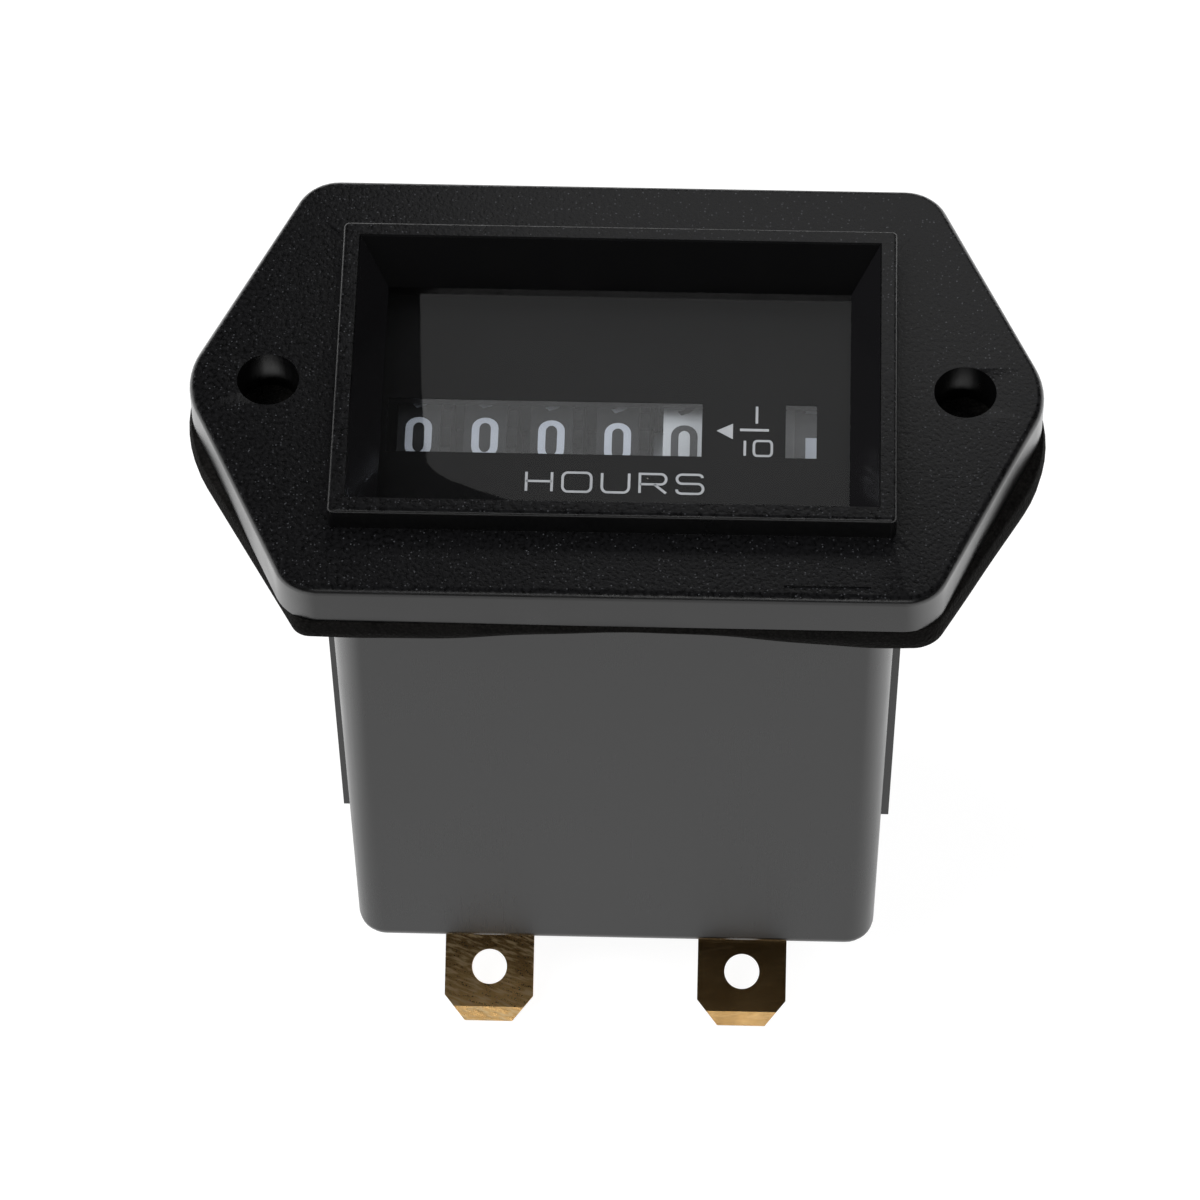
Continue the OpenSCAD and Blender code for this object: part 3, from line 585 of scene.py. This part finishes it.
# Plain plastics, paints and metals
MOULD_IOR = 1.48
MOULD_CLOUD_SIZE = 3 * MM
MOULD_ROUGH_SWING = 0.06
MOULD_STRENGTH = 0.6
INK_SPOT = 0.2
INK_DEPTH = 0.004
METAL_LINE_SIZE = 0.5 * MM
METAL_LINE_DETAIL = 4
METAL_STRETCH = (1, 8, 8)
GROUND_STRETCH = (0.4, 8, 8)
METAL_ROUGH_SWING = 0.07
METAL_DEPTH = 0.006 * MM
METAL_STRENGTH = 0.5


def moulded(name, dark, light, rough, spot=0.6, depth=0.01, shine=0.5):
    """Plain moulded plastic or paint with a soft change of tone and a fine skin; spot and depth in mm."""
    material, tree, shader = new_material(name, IOR=MOULD_IOR, Specular_IOR_Level=shine)
    cloud = noise(tree, MOULD_CLOUD_SIZE)
    skin = noise(tree, spot * MM)
    join(tree, mixed(tree, span(tree, cloud, *WIDE, 0, 1), dark, light), shader.inputs["Base Color"])
    swing = (rough - MOULD_ROUGH_SWING, rough + MOULD_ROUGH_SWING)
    join(tree, span(tree, skin, *WIDE, *swing), shader.inputs["Roughness"])
    bump(tree, shader, skin, depth * MM, MOULD_STRENGTH)
    return material


def ink(name, dark, light):
    return moulded(name, dark, light, rough=0.5, spot=INK_SPOT, depth=INK_DEPTH)


def metal(name, dark, light, rough, stretch=METAL_STRETCH):
    """Drawn or stamped metal with fine lines."""
    material, tree, shader = new_material(name, Metallic=1.0)
    lines = noise(tree, METAL_LINE_SIZE, METAL_LINE_DETAIL, stretched_place(tree, stretch))
    join(tree, mixed(tree, span(tree, lines, *WIDE, 0, 1), dark, light), shader.inputs["Base Color"])
    swing = (rough - METAL_ROUGH_SWING, rough + METAL_ROUGH_SWING)
    join(tree, span(tree, lines, *WIDE, *swing), shader.inputs["Roughness"])
    bump(tree, shader, lines, METAL_DEPTH, METAL_STRENGTH)
    return material


# Foam of the gasket
FOAM_ROUGH = 0.95
FOAM_SHINE = 0.1
FOAM_CELL_SIZE = 0.22 * MM
FOAM_CELL_RANGE = (0.1, 0.8)
FOAM_LIGHT = (0.011, 0.0104, 0.0098)
FOAM_DARK = (0.004, 0.0038, 0.0036)
FOAM_CLOUD_SIZE = 1.5 * MM
FOAM_CLOUD_RANGE = (0.4, 0.7)
FOAM_CLOUD_SHARE = 0.4
FOAM_CLOUD_TONE = (0.014, 0.0132, 0.0124)
FOAM_CELL_DEPTH = 0.08 * MM
FOAM_STRENGTH = 0.9


def gasket_foam():
    values = {"Roughness": FOAM_ROUGH, "Specular_IOR_Level": FOAM_SHINE}
    material, tree, shader = new_material("gasket_black_foam", **values)
    pores = cells_of(tree, FOAM_CELL_SIZE).outputs["Distance"]
    cloud = noise(tree, FOAM_CLOUD_SIZE)
    tone = mixed(tree, span(tree, pores, *FOAM_CELL_RANGE, 0, 1), FOAM_LIGHT, FOAM_DARK)
    tone = mixed(tree, span(tree, cloud, *FOAM_CLOUD_RANGE, 0, FOAM_CLOUD_SHARE), tone, FOAM_CLOUD_TONE)
    join(tree, tone, shader.inputs["Base Color"])
    bump(tree, shader, pores, FOAM_CELL_DEPTH, FOAM_STRENGTH)
    return material


# Winding of the coil, with painted shade darkening the grooves between its turns
WIRE_ROUGH = 0.35
WIRE_PITCH = 0.9 * MM
WIRE_WAVER = 0.4
WIRE_GROOVE_PAINTED_SHADE = (0.3, 0.1, 0.04)
WIRE_LIGHT = (0.62, 0.27, 0.11)
WIRE_DEPTH = 0.06 * MM
WIRE_STRENGTH = 0.8


def winding_wire():
    material, tree, shader = new_material("winding_wire", Metallic=1.0, Roughness=WIRE_ROUGH)
    values = {"Scale": 1 / WIRE_PITCH, "Distortion": WIRE_WAVER, "bands_direction": "Y"}
    wave = add(tree, "ShaderNodeTexWave", **values)
    join(tree, place_of(tree), wave.inputs["Vector"])
    turns = wave.outputs["Fac"]
    # Painted shade: the colour darkens between the turns, where the wires shade each other
    join(tree, mixed(tree, turns, WIRE_GROOVE_PAINTED_SHADE, WIRE_LIGHT), shader.inputs["Base Color"])
    bump(tree, shader, turns, WIRE_DEPTH, WIRE_STRENGTH)
    return material


# Materials of the nodes
steel = metal("steel_ground", (0.5, 0.5, 0.52), (0.68, 0.68, 0.7), rough=0.25, stretch=GROUND_STRETCH)
iron = metal("iron_stamped", (0.3, 0.3, 0.31), (0.48, 0.48, 0.5), rough=0.42)
tin = metal("tin_plated", (0.55, 0.55, 0.56), (0.7, 0.7, 0.71), rough=0.3)
rivet_brass = metal("rivet_brass", (0.5, 0.36, 0.15), (0.68, 0.52, 0.26), rough=0.32)
black_wheel = moulded("wheel_black", (0.022, 0.022, 0.0235), (0.03, 0.03, 0.032), rough=0.42)
white_wheel = moulded("wheel_white", (0.76, 0.78, 0.8), (0.84, 0.86, 0.88), rough=0.45)
grey_wheel = moulded("wheel_grey", (0.07, 0.07, 0.073), (0.095, 0.095, 0.099), rough=0.45)
gear_plastic = moulded("gear_cream", (0.62, 0.58, 0.48), (0.74, 0.71, 0.62), rough=0.4)
frame_plastic = moulded("frame_dark_grey", (0.018, 0.018, 0.02), (0.028, 0.028, 0.03), rough=0.5)
chip_plastic = moulded("chip_black", (0.015, 0.015, 0.015), (0.025, 0.025, 0.025), rough=0.6, spot=0.15)
dial_paint = moulded("dial_black", (0.0022, 0.0022, 0.0024), (0.0036, 0.0036, 0.0039),
                     rough=0.4, spot=0.25, depth=0.0015, shine=0.25)
board_mask = moulded("board_green", (0.02, 0.15, 0.06), (0.035, 0.2, 0.085), rough=0.35, spot=0.4)
sleeve = moulded("capacitor_sleeve", (0.015, 0.025, 0.09), (0.025, 0.04, 0.14), rough=0.3)
bobbin_plastic = moulded("bobbin_ivory", (0.66, 0.64, 0.58), (0.78, 0.76, 0.7), rough=0.45)
red_plastic = moulded("pinion_red", (0.4, 0.03, 0.025), (0.55, 0.06, 0.05), rough=0.4)
magnet = moulded("magnet_grey", (0.05, 0.05, 0.053), (0.085, 0.085, 0.09), rough=0.5, spot=0.2)
white_ink = ink("ink_white", (0.7, 0.74, 0.82), (0.78, 0.82, 0.9))
dark_ink = ink("ink_dark", (0.045, 0.045, 0.05), (0.075, 0.075, 0.08))
dial_ink = ink("ink_dial", (0.4, 0.41, 0.43), (0.5, 0.51, 0.53))
band_ink = ink("ink_pale_grey", (0.32, 0.32, 0.325), (0.38, 0.38, 0.385))
foam = gasket_foam()
# Both blades are the same brass: shade makes the left one lighter and the right one darker, as painted light
# and painted shade
left_brass_painted_lighter = brass("brass_scratched_painted_lighter", turn=math.radians(-22), scratch=0.65, shade=1.3, rough_low=0.25)
right_brass_painted_darker = brass("brass_smooth_painted_darker", turn=math.radians(10), scratch=0.1, shade=0.74, rough_low=0.2)

NODE_MATERIALS = {
    "bezel": bezel_plastic(),
    "lens": clear_sheet("lens_clear", index=1.46, dusty=0.45),
    "dial_plate": dial_paint,
    "gasket": foam,
    "case": case_plastic(),
    "terminal_left": left_brass_painted_lighter,
    "terminal_right": right_brass_painted_darker,
    "counter_frame": frame_plastic,
    "wheel_shaft": steel,
    "pinion_shaft": steel,
    "number_wheel_5": white_wheel,
    "indicator_wheel": grey_wheel,
    "second_gear": gear_plastic,
    "drive_pinion": gear_plastic,
    "first_gear": gear_plastic,
    "rotor_pinion": red_plastic,
    "rotor_magnet": magnet,
    "stator": iron,
    "coil_core": iron,
    "core_rivets": rivet_brass,
    "coil_bobbin": bobbin_plastic,
    "coil_winding": winding_wire(),
    "coil_pins": tin,
    "circuit_board": board_mask,
    "quartz_crystal": tin,
    "driver_chip": chip_plastic,
    "capacitor": sleeve,
    "rectifier_diode": chip_plastic,
}
BLACK_WHEELS = (1, 2, 3, 4)
TENTHS_WHEEL = 5
for number in BLACK_WHEELS:
    NODE_MATERIALS[f"number_wheel_{number}"] = black_wheel
    NODE_MATERIALS[f"transfer_pinion_{number}"] = gear_plastic

for name, material in NODE_MATERIALS.items():
    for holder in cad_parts[name].material_slots:
        holder.material = material

# Small edge rounds, in mm
EDGE_ROUNDS = {
    "bezel": 0.1,
    "case": 0.12,
    "counter_frame": 0.08,
    "circuit_board": 0.06,
    "driver_chip": 0.06,
    "coil_bobbin": 0.08,
}
EDGE_ANGLE = math.radians(34)
EDGE_SEGMENTS = 2
WELD_REACH = 0.001 * MM


def round_edges(name, width):
    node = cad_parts[name]
    weld = node.modifiers.new("join_points", "WELD")
    weld.merge_threshold = WELD_REACH
    edge = node.modifiers.new("round_edges", "BEVEL")
    edge.width = width * MM
    edge.segments = EDGE_SEGMENTS
    edge.limit_method = "ANGLE"
    edge.angle_limit = EDGE_ANGLE
    edge.miter_outer = "MITER_ARC"
    node.modifiers.new("even_shade", "WEIGHTED_NORMAL")


for name, width in EDGE_ROUNDS.items():
    round_edges(name, width)


# Strokes of letters and digits, in a box from 0 to 1 each way
def arc(x, y, rx, ry, start, end, steps=10):
    points = []
    for step in range(steps + 1):
        angle = math.radians(start + (end - start) * step / steps)
        points.append((x + rx * math.cos(angle), y + ry * math.sin(angle)))
    return points


def closed(points):
    return points + [points[0]]


def turned(points):
    return [(1 - x, 1 - y) for x, y in points]


RING_STEPS = 20
SIX = [(0.78, 1)] + arc(0.72, 0.36, 0.72, 0.6, 115, 180) + arc(0.5, 0.3, 0.5, 0.3, 180, 540, RING_STEPS)
DIGITS = {
    0: [closed(arc(0.5, 0.74, 0.5, 0.26, 0, 180) + arc(0.5, 0.26, 0.5, 0.26, 180, 360))],
    1: [[(0.2, 0.8), (0.55, 1), (0.55, 0)]],
    2: [arc(0.5, 0.73, 0.5, 0.27, 165, -38) + [(0, 0), (1, 0)]],
    3: [arc(0.48, 0.76, 0.46, 0.24, 150, -90) + arc(0.48, 0.26, 0.52, 0.26, 90, -150)],
    4: [[(0.74, 0), (0.74, 1), (0, 0.28), (1, 0.28)]],
    5: [[(0.92, 1), (0.12, 1), (0.06, 0.54)] + arc(0.47, 0.31, 0.53, 0.31, 128, -150)],
    6: [SIX],
    7: [[(0, 1), (1, 1), (0.35, 0)]],
    8: [arc(0.5, 0.76, 0.42, 0.24, 0, 360, RING_STEPS), arc(0.5, 0.26, 0.5, 0.26, 0, 360, RING_STEPS)],
    9: [turned(SIX)],
}
LETTERS = {
    "H": [[(0, 0), (0, 1)], [(1, 0), (1, 1)], [(0, 0.52), (1, 0.52)]],
    "O": [closed(arc(0.82, 0.72, 0.18, 0.28, 0, 90) + arc(0.18, 0.72, 0.18, 0.28, 90, 180)
                 + arc(0.18, 0.28, 0.18, 0.28, 180, 270) + arc(0.82, 0.28, 0.18, 0.28, 270, 360))],
    "U": [[(0, 1)] + arc(0.2, 0.3, 0.2, 0.3, 180, 270) + arc(0.8, 0.3, 0.2, 0.3, 270, 360) + [(1, 1)]],
    "R": [[(0, 0), (0, 1)] + arc(0.8, 0.73, 0.2, 0.27, 90, -90) + [(0, 0.46)], [(0.55, 0.46), (1, 0)]],
    "S": [[(0.97, 0.84)] + arc(0.8, 0.82, 0.17, 0.18, 20, 90) + arc(0.2, 0.76, 0.2, 0.24, 90, 270)
          + arc(0.8, 0.26, 0.2, 0.26, 90, -90) + arc(0.2, 0.18, 0.2, 0.18, 270, 170)],
    "1": [[(0.5, 0), (0.5, 1)]],
    "bar": [[(0, 0.5), (1, 0.5)]],
}
LETTERS["0"] = LETTERS["O"]

STEP = 0.35 * MM
# Ends of a line that are nearer than this close it, in metres
LOOP_REACH = 1e-7
# Limit on how far a stroke widens at a sharp bend
BEND_LEAST = 0.6
# Ink from just under a surface to just above it
INK_LOW = -0.01 * MM
INK_HIGH = 0.012 * MM


def even_points(points):
    """The same line with points no further apart than a step."""
    result = [Vector(points[0])]
    for start, end in zip(points, points[1:]):
        start, end = Vector(start), Vector(end)
        parts = max(1, math.ceil((end - start).length / STEP))
        for part in range(1, parts + 1):
            result.append(start.lerp(end, part / parts))
    return result


def side_ways(points, is_loop):
    """Sideways direction at each point of a line, longer at its bends."""
    ways = []
    count = len(points)
    for i, point in enumerate(points):
        steps = []
        if is_loop or i > 0:
            steps.append((point - points[i - 1]).normalized())
        if is_loop or i < count - 1:
            steps.append((points[(i + 1) % count] - point).normalized())
        middle = (steps[0] + steps[-1]).normalized()
        bend = max(BEND_LEAST, middle.dot(steps[0]))
        ways.append(Vector((-middle.y, middle.x)) / bend)
    return ways


def join_rows(form, first, second):
    """Adds a band of faces between two closed rows of points."""
    count = len(first)
    for i in range(count):
        k = (i + 1) % count
        form.faces.new((first[i], first[k], second[k], second[i]))


def stroke(form, points, width, place):
    """Adds one raised stroke to a bmesh; place turns flat x, y and a height into a point of the scene."""
    points = even_points(points)
    is_loop = (points[0] - points[-1]).length < LOOP_REACH
    if is_loop:
        points.pop()
    rows = []
    for point, way in zip(points, side_ways(points, is_loop)):
        left = point + way * width / 2
        right = point - way * width / 2
        spots = ((left, INK_LOW), (left, INK_HIGH), (right, INK_HIGH), (right, INK_LOW))
        rows.append([form.verts.new(place(spot.x, spot.y, level)) for spot, level in spots])
    for here, there in zip(rows, rows[1:]):
        join_rows(form, here, there)
    if is_loop:
        join_rows(form, rows[-1], rows[0])
    else:
        form.faces.new(rows[0])
        form.faces.new(list(reversed(rows[-1])))


def write(form, strokes, box, width, place):
    """Draws strokes into a box given as left, bottom, right and top of their outside."""
    left, bottom, right, top = box
    across = right - left - width
    upward = top - bottom - width
    for line in strokes:
        points = [(left + width / 2 + x * across, bottom + width / 2 + y * upward) for x, y in line]
        stroke(form, points, width, place)


def patch(form, tops, lows):
    """Adds a flat piece of ink between two rings of points."""
    form.faces.new(tops)
    form.faces.new(list(reversed(lows)))
    join_rows(form, lows, tops)


def piece_from(form, name, material, body):
    """Turns a bmesh into a piece that rides a body."""
    bmesh.ops.recalc_face_normals(form, faces=form.faces)
    mesh = bpy.data.meshes.new(name)
    form.to_mesh(mesh)
    form.free()
    made = bpy.data.objects.new(name, mesh)
    made.data.materials.append(material)
    scene.collection.objects.link(made)
    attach(made, body)
    return made


# Marks on the dial, in mm unless they say otherwise
HOURS_LEFT = -5.85
HOURS_RIGHT = 5.92
HOURS_BOTTOM = -6.7
HOURS_TOP = -5.0
HOURS_STROKE = 0.175 * MM
LETTER_WIDTHS = (1.85, 2.05, 1.95, 1.9, 1.9)
BAR_STROKE = 0.2 * MM
FRACTION_STROKE = 0.17 * MM
# Marks of the fraction as letter, stroke and box
FRACTION = (
    ("bar", BAR_STROKE, (8.07, -1.5, 10.18, -1.28)),
    ("1", FRACTION_STROKE, (9.1, -0.94, 9.44, 0.6)),
    ("1", FRACTION_STROKE, (8.32, -3.55, 8.7, -2.18)),
    ("0", FRACTION_STROKE, (9.02, -3.55, 10.37, -2.18)),
)
ARROW = ((6.63, -1.49), (7.71, -2.15), (7.71, -0.9))
dial_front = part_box("dial_plate")[1][2]


def on_dial(x, y, height):
    return Vector((x, y, dial_front + height))


def in_mm(*values):
    return [value * MM for value in values]


def dial_marks():
    form = bmesh.new()
    gap = (HOURS_RIGHT - HOURS_LEFT - sum(LETTER_WIDTHS)) / (len(LETTER_WIDTHS) - 1)
    x = HOURS_LEFT
    for letter, letter_w in zip("HOURS", LETTER_WIDTHS):
        box = in_mm(x, HOURS_BOTTOM, x + letter_w, HOURS_TOP)
        write(form, LETTERS[letter], box, HOURS_STROKE, on_dial)
        x += letter_w + gap
    for letter, width, box in FRACTION:
        write(form, LETTERS[letter], in_mm(*box), width, on_dial)
    lows = [form.verts.new(on_dial(x * MM, y * MM, INK_LOW)) for x, y in ARROW]
    tops = [form.verts.new(on_dial(x * MM, y * MM, INK_HIGH)) for x, y in ARROW]
    patch(form, tops, lows)
    piece_from(form, "dial_marks", dial_ink, "housing")


dial_marks()

# Clear film across the two windows of the dial
FILM_DEPTH = 0.04 * MM
FILM_T = 0.08 * MM
# Each window as left, bottom, right and top in mm
FILM_BOXES = ((-15.1, -3.6, 5.67, 0.7), (11.175, -3.6, 13.225, 0.7))


def window_film():
    form = bmesh.new()
    for left, bottom, right, top in FILM_BOXES:
        made = bmesh.ops.create_cube(form, size=1)["verts"]
        for vert in made:
            vert.co.x = (right if vert.co.x > 0 else left) * MM
            vert.co.y = (top if vert.co.y > 0 else bottom) * MM
            vert.co.z = dial_front - FILM_DEPTH + (0 if vert.co.z > 0 else -FILM_T)
    film = clear_sheet("film_clear", index=2.08, dusty=0.2)
    piece_from(form, "window_film", film, "housing")


window_film()

# Digits on the wheels
WHEEL_RADIUS = 7.0 * MM
WHEEL_Y = -1.45 * MM
WHEEL_Z = -7.55 * MM
# Distance between wheels and middle of the tenths wheel, in mm
WHEEL_PITCH = 4.39
TENTHS_MIDDLE = 4.5
DIGIT_W = 1.76 * MM
DIGIT_H = 3.4 * MM
DIGIT_STROKE = 0.5 * MM
# Share of the width that the digit one takes
ONE_SHARE = 0.62
TENTH_TURN = math.radians(36)
# Where each wheel has stopped, in degrees past the middle of the window
WHEEL_STOPS = {1: -0.6, 2: -0.1, 3: -1.3, 4: -2.4, 5: -3.3}


def on_wheel(x_middle, angle):
    """Turns flat x, y on a wheel's rim into a point of the scene."""
    def place(x, y, height):
        turn = angle + y / WHEEL_RADIUS
        reach = WHEEL_RADIUS + height
        return Vector((x_middle + x, WHEEL_Y + reach * math.sin(turn), WHEEL_Z + reach * math.cos(turn)))
    return place


def wheel_digits(number, stop, material):
    middle = (TENTHS_MIDDLE - (TENTHS_WHEEL - number) * WHEEL_PITCH) * MM
    form = bmesh.new()
    for digit, strokes in DIGITS.items():
        angle = math.radians(stop) - digit * TENTH_TURN
        half = DIGIT_W / 2 * (ONE_SHARE if digit == 1 else 1)
        box = (-half, -DIGIT_H / 2, half, DIGIT_H / 2)
        write(form, strokes, box, DIGIT_STROKE, on_wheel(middle, angle))
    piece_from(form, f"digits_{number}", material, f"number_wheel_{number}")


for number, stop in WHEEL_STOPS.items():
    if number == TENTHS_WHEEL:
        wheel_digits(number, stop, dark_ink)
    else:
        wheel_digits(number, stop, white_ink)

# Marks on the running indicator
INDICATOR_MIDDLE = 12.2 * MM
BLOCK_LEFT = 0.3 * MM
BLOCK_RIGHT = 1.3 * MM
BLOCK_TOP = math.radians(3)
BLOCK_TURN = math.radians(20)
BLOCK_COUNT = 9
BLOCK_STEPS = 4
BAND_LEFT = -1.35 * MM
BAND_RIGHT = -0.42 * MM
BAND_STEPS = 90
BAND_WELD = 0.0001 * MM


def indicator_ring(form, corners, level):
    return [form.verts.new(on_wheel(INDICATOR_MIDDLE, angle)(x, 0, level)) for x, angle in corners]


def indicator_patch(form, left, right, start, end, steps):
    for step in range(steps):
        first = start + (end - start) * step / steps
        second = start + (end - start) * (step + 1) / steps
        corners = ((left, first), (right, first), (right, second), (left, second))
        tops = indicator_ring(form, corners, INK_HIGH)
        lows = indicator_ring(form, corners, INK_LOW)
        patch(form, tops, lows)


def indicator_marks():
    form = bmesh.new()
    for number in range(BLOCK_COUNT):
        top = BLOCK_TOP - number * math.tau / BLOCK_COUNT
        indicator_patch(form, BLOCK_LEFT, BLOCK_RIGHT, top - BLOCK_TURN, top, BLOCK_STEPS)
    piece_from(form, "indicator_blocks", white_ink, "indicator_wheel")
    form = bmesh.new()
    indicator_patch(form, BAND_LEFT, BAND_RIGHT, 0, math.tau, BAND_STEPS)
    bmesh.ops.remove_doubles(form, verts=form.verts, dist=BAND_WELD)
    piece_from(form, "indicator_band", band_ink, "indicator_wheel")


indicator_marks()

# Foam gasket, in mm
# Corners of its outline as x, y and radius
FOAM_CORNERS = (
    (29.5, -1.2, 10.5), (20.85, 16.75, 3.0), (-20.85, 16.75, 3.0),
    (-29.5, -0.5, 10.5), (-20.2, -16.9, 1.2), (20.9, -16.6, 2.0),
)
CORNER_STEPS = 10
FOAM_HOLE_X = 22.9
FOAM_HOLE_R = 1.1
FOAM_HOLE_STEPS = 40
FOAM_IN_W = 39.2
FOAM_IN_H = 25.2
FOAM_IN_R = 2.0
FOAM_TOP = -0.02
FOAM_THIN = 0.55
FOAM_MIDDLE = 2.2
FOAM_BOW = 15.5
FOAM_DROP_LEFT = 1.7
FOAM_DROP_RIGHT = 2.1
# Waves of its back as height, turn for each mm of x and of y, and start
FOAM_WAVES = ((0.05, 0.42, 0, 0.8), (0.04, 0.9, 0.5, 0))
# Levels of its edge as share of the drop and swell outwards
FOAM_LEVELS = ((0.0, 0.0), (0.12, 0.06), (0.5, 0.2), (0.88, 0.1), (1.0, -0.05))
OUTER_SWELL = 1
HOLE_SWELL = -0.5


def corner_arc(before, corner, after, radius):
    """Points of a rounded corner between two others."""
    first = (before - corner).normalized()
    second = (after - corner).normalized()
    half = math.acos(max(-1, min(1, first.dot(second)))) / 2
    centre = corner + (first + second).normalized() * radius / math.sin(half)
    start = corner + first * radius / math.tan(half) - centre
    turn = math.pi - 2 * half
    points = []
    for step in range(CORNER_STEPS + 1):
        angle = math.atan2(start.y, start.x) + turn * step / CORNER_STEPS
        points.append(centre + Vector((math.cos(angle), math.sin(angle))) * radius)
    return points


def outline(corners):
    """Closed outline with rounded corners, as points in metres."""
    points = []
    for i, (x, y, radius) in enumerate(corners):
        before = Vector(corners[i - 1][:2])
        after = Vector(corners[(i + 1) % len(corners)][:2])
        points.extend(corner_arc(before, Vector((x, y)), after, radius))
    return even_points([point * MM for point in closed(points)])[:-1]


def foam_outlines():
    """The outer outline of the foam, the opening for the case and the two screw holes, with their swell."""
    opening = outline([(x * FOAM_IN_W / 2, y * FOAM_IN_H / 2, FOAM_IN_R) for x, y in SQUARE])
    found = [(outline(FOAM_CORNERS), OUTER_SWELL), (opening, HOLE_SWELL)]
    radius = FOAM_HOLE_R * MM
    for side in (-1, 1):
        ring = arc(side * FOAM_HOLE_X * MM, 0, radius, radius, 0, 360, FOAM_HOLE_STEPS)
        found.append(([Vector(point) for point in ring[:-1]], HOLE_SWELL))
    return found


def foam_drop(x, y):
    """How far the foam's back lies below the flange, in metres: little in the middle, more at the ends."""
    away = abs(x / MM - FOAM_MIDDLE)
    most = FOAM_DROP_RIGHT if x > 0 else FOAM_DROP_LEFT
    share = min(1.0, away / FOAM_BOW)
    rise = share * share * (3 - 2 * share)
    wave = 0
    for height, x_turn, y_turn, start in FOAM_WAVES:
        wave += height * math.sin(x / MM * x_turn + y / MM * y_turn + start)
    return (FOAM_THIN + (most - FOAM_THIN) * rise + wave) * MM


def foam_edge(form, points, grow):
    """Adds one bulging edge of the foam and returns its rows of points from the front to the back."""
    ways = side_ways(points, True)
    rows = []
    for share, swell in FOAM_LEVELS:
        row = []
        for point, way in zip(points, ways):
            spot = point - way * swell * grow * MM
            height = FOAM_TOP * MM - share * foam_drop(point.x, point.y)
            row.append(form.verts.new((spot.x, spot.y, height)))
        rows.append(row)
    for upper, lower in zip(rows, rows[1:]):
        join_rows(form, upper, lower)
    return rows


def make_gasket():
    form = bmesh.new()
    loops = [foam_edge(form, points, grow) for points, grow in foam_outlines()]
    for level in (0, -1):
        edges = []
        for rows in loops:
            row = rows[level]
            for i in range(len(row)):
                edges.append(form.edges.get((row[i], row[(i + 1) % len(row)])))
        bmesh.ops.triangle_fill(form, edges=edges, use_beauty=True)
    made = piece_from(form, "foam_gasket", foam, "housing")
    for face in made.data.polygons:
        face.use_smooth = True
    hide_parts("gasket")


make_gasket()
